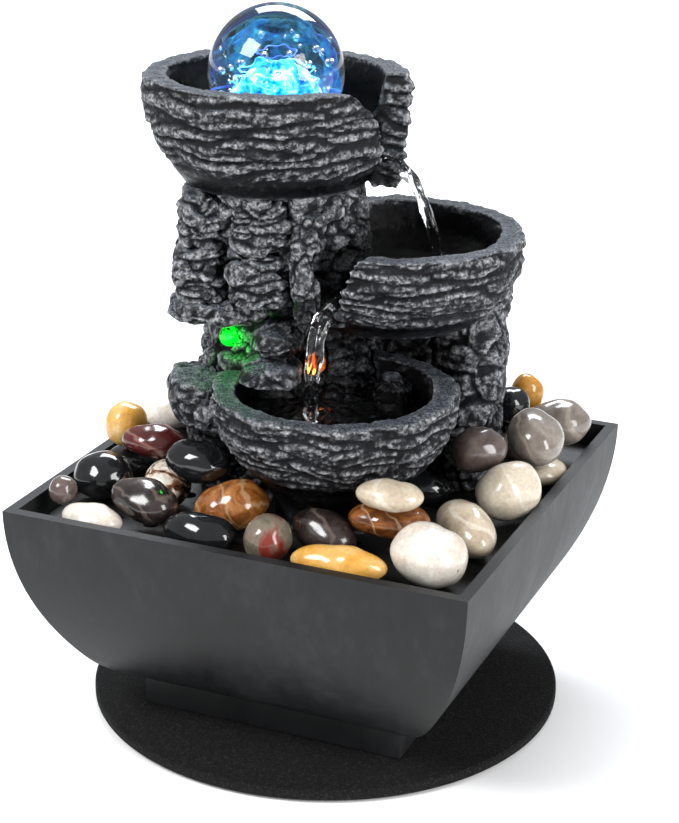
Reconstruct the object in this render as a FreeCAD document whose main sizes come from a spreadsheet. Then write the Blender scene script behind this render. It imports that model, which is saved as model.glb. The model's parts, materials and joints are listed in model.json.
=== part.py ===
import FreeCAD, Part
import math
import os
import random
import re
import Sketcher

# Tabletop water fountain: a square bowl of pebbles on a round turntable, and a rock
# tower of three basins fed by a small pump.  Millimetres, +Z up, origin at the bottom
# centre of the turntable, front face towards -Y.  The tower parts are drawn in the
# tower's own axes and then turned by tower_turn about Z.

os.makedirs("parts", exist_ok=True)
doc = FreeCAD.newDocument("water_fountain")
sheet = doc.addObject("Spreadsheet::Sheet", "dims")
V = FreeCAD.Vector
UP = V(0, 0, 1)

DIMS = {
    # turntable
    "disc_radius": 92, "disc_low": 0.8, "disc_top": 5.0, "disc_bevel": 0.8,
    "pad_radius": 7, "pad_top": 1.2, "pad_ring": 78, "pad_count": 6,
    "glide_outer": 47, "glide_inner": 40, "glide_low": 4.0, "foot_low": 5.6,
    "pivot_radius": 2.5, "pivot_head": 5.0, "pivot_fit": 0.05, "head_low": 1.3, "head_top": 2.7,
    "head_gap": 0.1, "head_room": 0.6, "pad_fit": 0.1,
    # bowl
    "bowl_half": 90, "rim_z": 94, "wall": 4.2, "heel_radius": 36, "heel_x": 40, "bowl_low": 14,
    "foot_half": 53, "foot_wall": 3, "foot_roof": 14.6,
    "plate_thick": 3, "plate_gap": 0.3, "boss_radius": 7, "boss_top": 13.6,
    "boss_roof": 2, "screw_at": 41, "screw_radius": 1.4, "screw_head": 2.8, "screw_boss": 4,
    "screw_head_thick": 1.4, "screw_sink": 0.1, "post_roof": 1, "tip_gap": 0.5,
    # how far a cutter runs past what it cuts, or a post into what it stands on
    "overrun": 5, "run_in": 1,
    # tray
    "tray_drop": 12.5, "tray_thick": 3.5, "tray_gap": 0.9, "leg_radius": 5, "leg_at": 34,
    "hole_radius": 3, "hole_pitch": 15, "hole_lines": 4, "notch": 24, "leg_keep": 10, "tube_keep": 14,
    # pump, along X, with its outlet under the upper basin
    "pump_low": 22, "pump_top": 54, "pump_half": 17, "pump_back": 37, "chamber_half": 7,
    "cover_thick": 4, "knob_gap": 0.3, "rotor_radius": 6.5, "rotor_length": 22,
    "blade_radius": 10.5, "blade_height": 5, "spin_z": 36, "shaft_radius": 1.0,
    "nozzle_radius": 5, "nozzle_bore": 3.6, "nozzle_top": 64,
    "knob_radius": 8, "knob_thick": 2.4, "knob_stem": 2, "cup_radius": 5,
    "gland_radius": 4, "gland_bore": 2, "gland_length": 6, "gland_depth": 4, "gland_drop": 8,
    "motor_round": 3, "rotor_gap": 0.4, "rotor_lead": 5, "rotor_play": 1, "seat_depth": 3, "shaft_play": 0.5,
    "volute_gap": 1.5, "flange_step": 1.5, "inlet_at": 10.5, "inlet_half_width": 1.2, "inlet_half": 7,
    "sieve_first": 13, "sieve_pitch": 4, "sieve_width": 1.6, "sieve_count": 7, "sieve_depth": 1.2,
    "sieve_low": 6, "sieve_high": 2, "pointer_proud": 1.5, "pointer_half": 0.8, "pointer_inset": 1,
    "hub_radius": 4, "hub_start": 2, "hub_end": 4, "blade_count": 6, "blade_half": 0.6, "blade_start": 2.5,
    "cup_inset": 7, "cup_at": 11,
    # tube, ball and its seat
    "nozzle_fit": 0.3, "tube_wall": 1.5, "tube_low": 56, "tube_gap": 0.3, "tube_clear": 1.4,
    "ball_radius": 25, "ball_low": 219.5, "seat_radius": 17, "seat_stand": 0.4, "seat_top": 223,
    "seat_gap": 0.3, "led_radius": 2.5, "led_ring": 12.2, "led_top": 219, "led_fit": 0.1, "led_count": 3,
    "led_floor": 1, "tube_drop": 2, "slot_half": 1.5, "slot_depth": 4,
    # tower
    "tower_turn": 23.4, "rock_gap": 0.3,
    "upper_u": -20, "upper_w": 10, "middle_u": 24.7, "middle_w": 10,
    "lower_u": 2.4, "lower_w": -25,
    "hollow_radius": 20, "hollow_top": 125, "hollow_u": -14, "hollow_w": 18,
    # spouts: the beak's foot and top, back from the reach, and the channel through it
    "beak_back": 13, "beak_front": 3, "beak_top_back": 10, "beak_taper": 0.6, "beak_drop": 5,
    "channel_half": 3, "channel_start": 19, "channel_past": 9,
    # sealed lamps in the tower, lying along its depth
    "lamp_radius": 4, "lamp_length": 14, "lens_length": 3, "lens_dome": 1, "lamp_fit": 0.2,
    "pocket_mouth": 12,
    "niche_u": -37, "niche_z": 148, "niche_front": -5,
    "cascade_u": -5, "cascade_z": 140, "cascade_front": -12,
}

# Basin outlines: half profiles (radius, height) outside from the rim down, then the
# inside from the floor up; and the spout as bearing, reach, lip height, cheek limits.
BASINS = {
    "upper": {
        "outer": [(48, 245), (49, 239), (47.5, 229), (43, 218), (37, 209), (33.5, 205)],
        "inner": [(18, 214.5), (28, 219), (37, 232), (40, 245)],
        "spout": {"bearing": -11.9, "reach": 49.5, "lip": 210, "left": 8, "right": -36, "beak": 11},
    },
    "middle": {
        "outer": [(48, 186.5), (48.5, 180), (46, 170), (40, 160), (32, 153), (24, 150)],
        "inner": [(18, 165), (28, 167), (37, 176), (40, 186.5)],
        "spout": {"bearing": -126, "reach": 45.5, "lip": 163.5, "left": 16, "right": -24, "beak": 9},
    },
    "lower": {
        "outer": [(45, 135.6), (45.5, 130), (43, 120), (36, 109), (27, 100), (23, 94), (22, 85)],
        "inner": [(16, 113), (26, 115), (34, 124), (37, 135.6)],
    },
}

# Rocks as stacked rings: height, centre u and w, half sizes along u and w.
# The last number is the squareness of the plan, 2 for round and more for blocky.
ROCKS = {
    "tower_core": ([(85, -8, 18, 42, 36), (112, -12, 20, 37, 32), (140, -16, 20, 33, 31),
                    (172, -16, 17, 31, 30), (205, -19, 12, 33, 33)], 2.3),
    "left_base_rock": ([(85, -36, 6, 14, 16), (102, -37, 4, 15, 17), (117, -39, 0, 17, 19)], 2.8),
    "ledge_rock": ([(117.4, -40, -5, 17, 20), (124, -41, -5, 19, 21), (133, -42, -4, 17, 18)], 3.2),
    "overhang_slab": ([(157, -40, -5, 16, 15), (160, -41, -6, 19, 18), (164.5, -40, -5, 17, 18)], 3.2),
    "slab_lower_left": ([(164.9, -47, -3, 9, 17), (175, -48, -4, 9.5, 17), (184, -47, -3, 8.5, 16)], 3.4),
    "slab_lower_right": ([(164.9, -26, -12, 10.5, 13), (175, -26, -13, 11.5, 13),
                          (184, -26, -12, 10.5, 12)], 3.4),
    "slab_upper_left": ([(184.8, -47, -1, 8, 16), (194, -47, -2, 9, 17), (204.5, -46, 0, 8, 16)], 3.4),
    "slab_upper_right": ([(184.8, -26, -10, 10.5, 13), (194, -25, -11, 12, 13),
                          (204.5, -24, -9, 12, 12)], 3.4),
    "wedge_rock": ([(158, -9, -27, 2.5, 3), (170, -8, -24, 5, 6), (188, -8, -19, 6.5, 9),
                    (199, -7, -15, 5, 8)], 2.6),
    "right_column": ([(85, 55, 12, 13, 20), (108, 54, 12, 12, 19), (134, 55, 12, 12.5, 18),
                      (170, 57, 12, 12, 18)], 3.0),
    "rear_column": ([(85, 28, 42, 20, 18), (118, 27, 42, 18, 17), (170, 26, 41, 19, 17)], 2.8),
    "boulder_upper": ([(144.2, -18, -16, 6, 6), (149, -19, -18, 10, 10), (154, -18, -16, 9, 9),
                       (157.4, -17, -14, 5, 5)], 2.3),
    "boulder_lower": ([(131, -22, -17, 8, 8), (136, -22, -20, 12, 11), (141, -21, -18, 11, 10),
                       (143.8, -20, -16, 6, 6)], 2.3),
    "pool_boulder": ([(115.4, 22, -9, 6, 6), (122, 23, -8, 9, 8), (130, 24, -8, 7.5, 7),
                      (134, 24, -8, 3, 3)], 2.2),
}

# Pebbles that lie on top: group, x, y, half length, half width, half height, yaw and tilt.
PEBBLES = [
    ("pebbles_white", -60, -77, 13, 7.5, 6, -6, 0),
    ("pebbles_black", -17, -74, 15, 9, 7.5, 4, 0),
    ("pebbles_green", 8, -72, 9, 9.5, 9, 0, 10),
    ("pebbles_honey", 38, -77, 18, 7.5, 7, 8, 0),
    ("pebbles_white", 67, -66, 14, 12.5, 11.5, 0, 10),
    ("pebbles_brown", -44, -66, 14.5, 10, 8, -12, 6),
    ("pebbles_black", -73, -47, 12, 11, 9.5, 0, 0),
    ("pebbles_brown", -75, -72, 5.5, 5.5, 5.5, 0, 0),
    ("pebbles_agate", -48, -42, 11.5, 9.5, 8.5, -60, 10),
    ("pebbles_brown", 23, -57, 14.5, 9, 8, -20, 8),
    ("pebbles_orange", 46, -51, 15, 10, 6.5, 10, 0),
    ("pebbles_orange", -15, -51, 14.5, 10.5, 9.5, 30, -12),
    ("pebbles_cream", 69, -35, 17, 9.5, 9, -45, 6),
    ("pebbles_cream", 75, -5, 14, 10.5, 11, 50, -12),
    ("pebbles_brown", 60, 3, 11, 9.5, 9, 40, 0),
    ("pebbles_honey", -76, -22, 8.5, 9, 9, 0, 0),
    ("pebbles_maroon", -55, -32, 12.5, 8.5, 6.5, 12, 0),
    ("pebbles_black", -33, -45, 13.5, 10, 8, -5, 4),
    ("pebbles_cream", 45, -53, 12.5, 8.5, 5.5, 5, 0),
    ("pebbles_white", -73, 14, 15.5, 9.5, 8.5, 24, -16),
    ("pebbles_black", -77, 30, 9, 7, 7, 60, 0),
    ("pebbles_grey", 73, 64, 13, 10, 9.5, 15, 0),
    ("pebbles_black", 50, 56, 8, 8, 7.5, 0, 0),
    ("pebbles_grey", 72, 30, 15, 11, 10, -60, 10),
    ("pebbles_honey", 55, 76, 7, 6, 8, 0, 0),
]

# The smaller stones under them and the loose ones that fill the rest of the bowl.
FILL = {
    "under_pitch": 17, "under_length": 11, "under_width": 9, "under_height": 6, "under_front": -36,
    "bare_right": 50, "bare_front": -24, "bare_back": 20,
    "over_pitch": 17, "over_length": 13, "over_width": 10, "over_height": 7.5, "over_clear": 16,
    "fill_jitter": 2.5, "fill_edge": 76, "pebble_gap": 0.5, "rock_keep": 0.7, "notch_keep": 6,
    "under_rise": 4, "top_rise": 26, "over_rise": 18,
}
FILL_GROUPS = ("pebbles_black", "pebbles_grey", "pebbles_brown", "pebbles_black", "pebbles_cream")

# Places worked out in the sheet itself from the sizes above.
DERIVED = {
    # the bowl's side is two arcs that meet tangent: the heel, and a wide arc up to the rim
    "side_radius": "((bowl_half - heel_x)^2 + (rim_z - bowl_low)^2 - 2 * (rim_z - bowl_low) * heel_radius)"
                   " / (2 * (bowl_half - heel_x - heel_radius))",
    "arcs_meet": "side_radius / (side_radius - heel_radius)",
    "meet_x": "bowl_half - side_radius + arcs_meet * (heel_x - bowl_half + side_radius)",
    "meet_z": "rim_z - arcs_meet * (rim_z - bowl_low - heel_radius)",
    "floor_z": "bowl_low + wall",
    # the tray ends tray_gap short of the bowl's inside at its own height, and the tower stands on it
    "tray_low": "rim_z - tray_drop",
    "tray_top": "tray_low + tray_thick",
    "tray_half": "bowl_half - side_radius + sqrt((side_radius - wall)^2 - tray_drop^2) - tray_gap",
    "tower_low": "tray_top",
    # the tube goes over the pump's nozzle, and up through the tray and the tower
    "tube_bore": "nozzle_radius + nozzle_fit",
    "tube_radius": "tube_bore + tube_wall",
    "tube_hole": "tube_radius + tube_clear",
    "seat_low": "upper_inner_0_height + seat_stand",
    "ball_z": "ball_low + ball_radius",
    # the upper basin's axis in the bowl's own axes, where the pump's outlet stands
    "outlet_x": "upper_u * cos(tower_turn) - upper_w * sin(tower_turn)",
    "outlet_y": "upper_u * sin(tower_turn) + upper_w * cos(tower_turn)",
    "chamber_left": "outlet_x - chamber_half",
    "chamber_right": "outlet_x + chamber_half",
    "cover_left": "chamber_left - cover_thick",
    "knob_left": "cover_left - knob_thick - knob_gap",
    "tube_top": "ball_z - ball_radius - tube_drop",
}


def flatten():
    """Every named size in one table: alias to value."""
    table = {**DIMS, **FILL}
    for basin, shape in BASINS.items():
        for side in ("outer", "inner"):
            for index, (radius, height) in enumerate(shape[side]):
                table[f"{basin}_{side}_{index}_radius"] = radius
                table[f"{basin}_{side}_{index}_height"] = height
        for key, value in shape.get("spout", {}).items():
            table[f"{basin}_spout_{key}"] = value
    for rock, (rings, squareness) in ROCKS.items():
        table[f"{rock}_squareness"] = squareness
        for index, ring in enumerate(rings):
            for key, value in zip(("height", "centre_u", "centre_w", "half_u", "half_w"), ring):
                table[f"{rock}_{index}_{key}"] = value
    for index, pebble in enumerate(PEBBLES):
        keys = ("at_x", "at_y", "half_length", "half_width", "half_height", "yaw", "tilt")
        for key, value in zip(keys, pebble[1:]):
            table[f"pebble_{index}_{key}"] = value
    return table


TABLE = flatten()
for row, (alias, value) in enumerate(TABLE.items(), start=1):
    sheet.set(f"A{row}", alias)
    sheet.set(f"B{row}", str(value))
    sheet.setAlias(f"B{row}", alias)
for row, (alias, formula) in enumerate(DERIVED.items(), start=len(TABLE) + 1):
    sheet.set(f"A{row}", alias)
    sheet.setAlias(f"B{row}", alias)
    sheet.set(f"B{row}", "=" + formula)
doc.recompute()
ALIASES = set(TABLE) | set(DERIVED)


def ref(formula):
    """A formula of sheet names, written as an expression for another object."""
    return re.sub(r"[a-z_][a-z_0-9]*", lambda word: "dims." + word[0] if word[0] in ALIASES else word[0],
                  str(formula))


def size(formula):
    """A formula's present value, for shapes that no feature can bind."""
    return float(sheet.evalExpression(ref(formula).replace("dims.", "")))


def bind(obj, **formulas):
    for name, formula in formulas.items():
        obj.setExpression(name, ref(formula))
    return obj


def place(obj, x="0", y="0", z="0", turn="0", axis=UP):
    obj.Placement = FreeCAD.Placement(V(), FreeCAD.Rotation(axis, 1))
    for name, formula in (("x", x), ("y", y), ("z", z)):
        obj.setExpression(f"Placement.Base.{name}", ref(formula))
    obj.setExpression("Placement.Rotation.Angle", ref(turn))
    return obj


def box(name, x_low, x_high, y_low, y_high, z_low, z_high):
    made = doc.addObject("Part::Box", name)
    bind(made, Length=f"({x_high}) - ({x_low})", Width=f"({y_high}) - ({y_low})",
         Height=f"({z_high}) - ({z_low})")
    return place(made, x_low, y_low, z_low)


def cylinder(name, radius, z_low, z_high, x="0", y="0"):
    made = doc.addObject("Part::Cylinder", name)
    bind(made, Radius=radius, Height=f"({z_high}) - ({z_low})")
    return place(made, x, y, z_low)


def rod(name, radius, x_low, x_high, y, z):
    """A cylinder along X."""
    made = doc.addObject("Part::Cylinder", name)
    bind(made, Radius=radius, Height=f"({x_high}) - ({x_low})")
    return place(made, x_low, y, z, "90", V(0, 1, 0))


def lengthwise(name, radius, u, w_low, w_high, z):
    """A cylinder along the tower's W axis."""
    made = doc.addObject("Part::Cylinder", name)
    bind(made, Radius=radius, Height=f"({w_high}) - ({w_low})")
    return place(made, u, w_low, z, "-90", V(1, 0, 0))


def ball(name, radius, x, y, z):
    made = doc.addObject("Part::Sphere", name)
    bind(made, Radius=radius)
    return place(made, x, y, z)


def fuse(name, parts):
    made = doc.addObject("Part::MultiFuse", name)
    made.Shapes = parts
    return made


def common(name, parts):
    made = doc.addObject("Part::MultiCommon", name)
    made.Shapes = parts
    return made


def group(name, parts):
    made = doc.addObject("Part::Compound", name)
    made.Links = parts
    return made


def cut(name, base, tools):
    made = doc.addObject("Part::Cut", name)
    made.Base = base
    made.Tool = tools[0] if len(tools) == 1 else fuse(name + "_tools", tools)
    return made


def outline(sketch, steps):
    """Close an outline through points (x, y, radius): a radius rounds the way to the next point.

    The outline runs anticlockwise, so each arc's centre lies on its left.
    """
    points = [V(size(x), size(y), 0) for x, y, _ in steps]
    for index, (_, _, radius) in enumerate(steps):
        start = points[index]
        end = points[(index + 1) % len(points)]
        if radius is None:
            sketch.addGeometry(Part.LineSegment(start, end), False)
            continue
        reach = size(radius)
        chord = end - start
        left = V(-chord.y, chord.x, 0).normalize()
        centre = (start + end) * 0.5 + left * math.sqrt(reach ** 2 - (chord.Length / 2) ** 2)
        circle = Part.Circle(centre, UP, reach)
        angles = [math.atan2(point.y - centre.y, point.x - centre.x) for point in (start, end)]
        sketch.addGeometry(Part.ArcOfCircle(circle, *angles), False)
        bound = sketch.addConstraint(Sketcher.Constraint("Radius", index, reach))
        sketch.setExpression(f"Constraints[{bound}]", ref(radius))
    for index, (x, y, _) in enumerate(steps):
        follower = (index + 1) % len(steps)
        sketch.addConstraint(Sketcher.Constraint("Coincident", index, 2, follower, 1))
        for kind, formula in (("DistanceX", x), ("DistanceY", y)):
            bound = sketch.addConstraint(Sketcher.Constraint(kind, -1, 1, index, 1, size(formula)))
            sketch.setExpression(f"Constraints[{bound}]", ref(formula))


def upright_sketch(name, steps):
    """A sketch in the XZ plane, its own Y pointing up."""
    sketch = doc.addObject("Sketcher::SketchObject", name)
    sketch.Placement = FreeCAD.Placement(V(), FreeCAD.Rotation(V(1, 0, 0), 90))
    outline(sketch, steps)
    return sketch


def spun(name, steps):
    """The solid that an upright outline sweeps round Z."""
    made = doc.addObject("Part::Revolution", name)
    made.Source = upright_sketch(name + "_outline", steps)
    made.Axis = UP
    made.Base = V()
    made.Angle = 360
    made.Solid = True
    return made


NODES = []


def node(name, obj):
    """Name a finished sub-part."""
    obj.Label = name
    NODES.append(obj)
    return obj


def tower_node(name, obj):
    """Name a finished sub-part of the tower and turn it into the bowl's axes."""
    obj.Label = name + "_upright"
    holder = group(name + "_turned", [obj])
    place(holder, turn="tower_turn")
    return node(name, holder)


# ---------------------------------------------------------------- turntable

def base_disc():
    body = doc.addObject("PartDesign::Body", "base_disc")
    planes = {origin.Role: origin for origin in body.Origin.OriginFeatures}
    profile = body.newObject("Sketcher::SketchObject", "disc_profile")
    profile.AttachmentSupport = [(planes["XZ_Plane"], "")]
    profile.MapMode = "FlatFace"
    outline(profile, [
        ("pivot_radius + pivot_fit", "head_top + head_gap", None),
        ("pivot_head + head_room", "head_top + head_gap", None),
        ("pivot_head + head_room", "disc_low", None),
        ("disc_radius - disc_bevel", "disc_low", None),
        ("disc_radius", "disc_low + disc_bevel", None),
        ("disc_radius", "disc_top - disc_bevel", None),
        ("disc_radius - disc_bevel", "disc_top", None),
        ("glide_outer", "disc_top", None),
        ("glide_outer", "glide_low", None),
        ("glide_inner", "glide_low", None),
        ("glide_inner", "disc_top", None),
        ("pivot_radius + pivot_fit", "disc_top", None),
    ])
    turned = body.newObject("PartDesign::Revolution", "disc_turned")
    turned.Profile = profile
    turned.ReferenceAxis = (profile, ["V_Axis"])
    turned.Angle = 360
    doc.recompute()
    circle = body.newObject("Sketcher::SketchObject", "pad_circle")
    circle.AttachmentSupport = [(planes["XY_Plane"], "")]
    circle.MapMode = "FlatFace"
    recess_radius = "pad_radius + pad_fit"
    circle.addGeometry(Part.Circle(V(size("pad_ring"), 0, 0), UP, size(recess_radius)), False)
    for kind, formula in (("DistanceX", "pad_ring"), ("DistanceY", "0")):
        bound = circle.addConstraint(Sketcher.Constraint(kind, -1, 1, 0, 3, size(formula)))
        circle.setExpression(f"Constraints[{bound}]", ref(formula))
    bound = circle.addConstraint(Sketcher.Constraint("Radius", 0, size(recess_radius)))
    circle.setExpression(f"Constraints[{bound}]", ref(recess_radius))
    recess = body.newObject("PartDesign::Pocket", "pad_recess")
    recess.Profile = circle
    recess.Reversed = True
    bind(recess, Length="pad_top")
    recesses = body.newObject("PartDesign::PolarPattern", "pad_recesses")
    recesses.Originals = [recess]
    recesses.Axis = (circle, ["N_Axis"])
    recesses.Angle = 360
    bind(recesses, Occurrences="pad_count")
    body.Tip = recesses
    return body


def turntable():
    node("base_disc", base_disc())
    pads = []
    for index in range(int(size("pad_count"))):
        angle = f"{index} * 360 / pad_count"
        pads.append(cylinder(f"pad_{index}", "pad_radius", "0", "pad_top",
                             f"pad_ring * cos({angle})", f"pad_ring * sin({angle})"))
    node("disc_feet", group("disc_feet", pads))
    node("glide_ring", cut("glide_ring", cylinder("glide_round", "glide_outer", "glide_low", "foot_low"),
                           [cylinder("glide_hole", "glide_inner", "glide_low", "foot_low")]))
    node("pivot_screw", fuse("pivot_screw", [
        cylinder("pivot_head_round", "pivot_head", "head_low", "head_top"),
        cylinder("pivot_shank", "pivot_radius", "head_low", "boss_top - boss_roof"),
    ]))


# ---------------------------------------------------------------- bowl

def bowl_block(name, inset, top):
    """The square bowl's outer shape, or its inside when inset by the wall."""
    heel = f"heel_radius - {inset}"
    side = f"side_radius - {inset}"
    low = f"bowl_low + {inset}"
    # the point where both arcs meet moves in along their common radius
    meet_x = f"meet_x - {inset} * (meet_x - heel_x) / heel_radius"
    meet_z = f"meet_z - {inset} * (meet_z - bowl_low - heel_radius) / heel_radius"
    steps = [
        ("heel_x", low, heel),
        (meet_x, meet_z, side),
        (f"bowl_half - {inset}", "rim_z", None),
        (f"bowl_half - {inset}", top, None),
        (f"{inset} - bowl_half", top, None),
        (f"{inset} - bowl_half", "rim_z", side),
        (f"-({meet_x})", meet_z, heel),
        ("-heel_x", low, None),
    ]
    if top == "rim_z":
        steps = [step for index, step in enumerate(steps) if index not in (3, 4)]
    across = doc.addObject("Part::Extrusion", name + "_across")
    across.Base = upright_sketch(name + "_outline", steps)
    along = doc.addObject("Part::Extrusion", name + "_along")
    along.Base = upright_sketch(name + "_outline_along", steps)
    for prism in (across, along):
        prism.DirMode = "Normal"
        prism.Solid = True
        prism.Symmetric = True
        bind(prism, LengthFwd="2 * bowl_half + 2 * overrun")
    place(along, turn="90")
    return common(name, [across, along])


def corner_places(reach):
    return [(f"{sx} * {reach}", f"{sy} * {reach}") for sx in (-1, 1) for sy in (-1, 1)]


def bowl():
    outer = bowl_block("bowl_outer", "0", "rim_z")
    inner = bowl_block("bowl_inner", "wall", "rim_z + overrun")
    # the foot runs up into the heel, far enough for the two to join all round
    foot = box("foot_block", "-foot_half", "foot_half", "-foot_half", "foot_half", "foot_low",
               "bowl_low + heel_radius / 4")
    inside = "foot_half - foot_wall"
    hollow = box("foot_hollow", f"-({inside})", inside, f"-({inside})", inside, "foot_low", "foot_roof")
    posts = [cylinder(f"screw_post_{index}", "screw_boss", "foot_low + plate_thick",
                      "foot_roof + run_in", x, y)
             for index, (x, y) in enumerate(corner_places("screw_at"))]
    bores = [cylinder(f"screw_bore_{index}", "screw_radius", "foot_low", "foot_roof - post_roof", x, y)
             for index, (x, y) in enumerate(corner_places("screw_at"))]
    shell = cut("bowl_shell", fuse("bowl_and_foot", [outer, foot]), [hollow])
    with_posts = fuse("bowl_with_posts", [shell, *posts])
    node("bowl", cut("bowl", with_posts, [inner, *bores]))


def foot_plate():
    edge = "foot_half - foot_wall - plate_gap"
    top = "foot_low + plate_thick"
    plate = box("plate", f"-({edge})", edge, f"-({edge})", edge, "foot_low", top)
    boss = cylinder("plate_boss", "boss_radius", "foot_low", "boss_top")
    holes = [cylinder("pivot_hole", "pivot_radius", "foot_low", "boss_top - boss_roof")]
    screws = []
    head, head_in = "foot_low + screw_sink", "foot_low + screw_head_thick"
    tip = "foot_roof - post_roof - tip_gap"
    for index, (x, y) in enumerate(corner_places("screw_at")):
        holes.append(cylinder(f"plate_hole_{index}", "screw_radius", "foot_low", top, x, y))
        holes.append(cylinder(f"plate_sink_{index}", "screw_head", "foot_low", head_in, x, y))
        screws.append(fuse(f"plate_screw_{index}", [
            cylinder(f"screw_head_{index}", "screw_head", head, head_in, x, y),
            cylinder(f"screw_shank_{index}", "screw_radius", head, tip, x, y),
        ]))
    node("foot_plate", cut("foot_plate", fuse("plate_and_boss", [plate, boss]), holes))
    node("foot_plate_screws", group("foot_plate_screws", screws))


def pebble_tray():
    half = "tray_half"
    plate = box("tray_plate", f"-{half}", half, f"-{half}", half, "tray_low", "tray_top")
    legs = [cylinder(f"tray_leg_{index}", "leg_radius", "floor_z", "tray_low + run_in", x, y)
            for index, (x, y) in enumerate(corner_places("leg_at"))]
    holes = [
        cylinder("tube_way", "tube_hole", "tray_low", "tray_top", "outlet_x", "outlet_y"),
        box("tray_notch", f"-{half}", f"notch - {half}", f"{half} - notch", half, "tray_low", "tray_top"),
    ]
    count = int(size("hole_lines"))
    for column in range(-count, count + 1):
        for line in range(-count, count + 1):
            x = column * size("hole_pitch")
            y = line * size("hole_pitch")
            # the drain holes keep off the legs, the tube's way and the corners
            near_leg = math.hypot(abs(x) - size("leg_at"), abs(y) - size("leg_at")) < size("leg_keep")
            near_tube = math.hypot(x - size("outlet_x"), y - size("outlet_y")) < size("tube_keep")
            if near_leg or near_tube or max(abs(column), abs(line)) == count and column * line == 0:
                continue
            holes.append(cylinder("drain", "hole_radius", "tray_low", "tray_top",
                                  f"{column} * hole_pitch", f"{line} * hole_pitch"))
    node("pebble_tray", cut("pebble_tray", fuse("plate_and_legs", [plate, *legs]), holes))


# ---------------------------------------------------------------- pump

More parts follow.
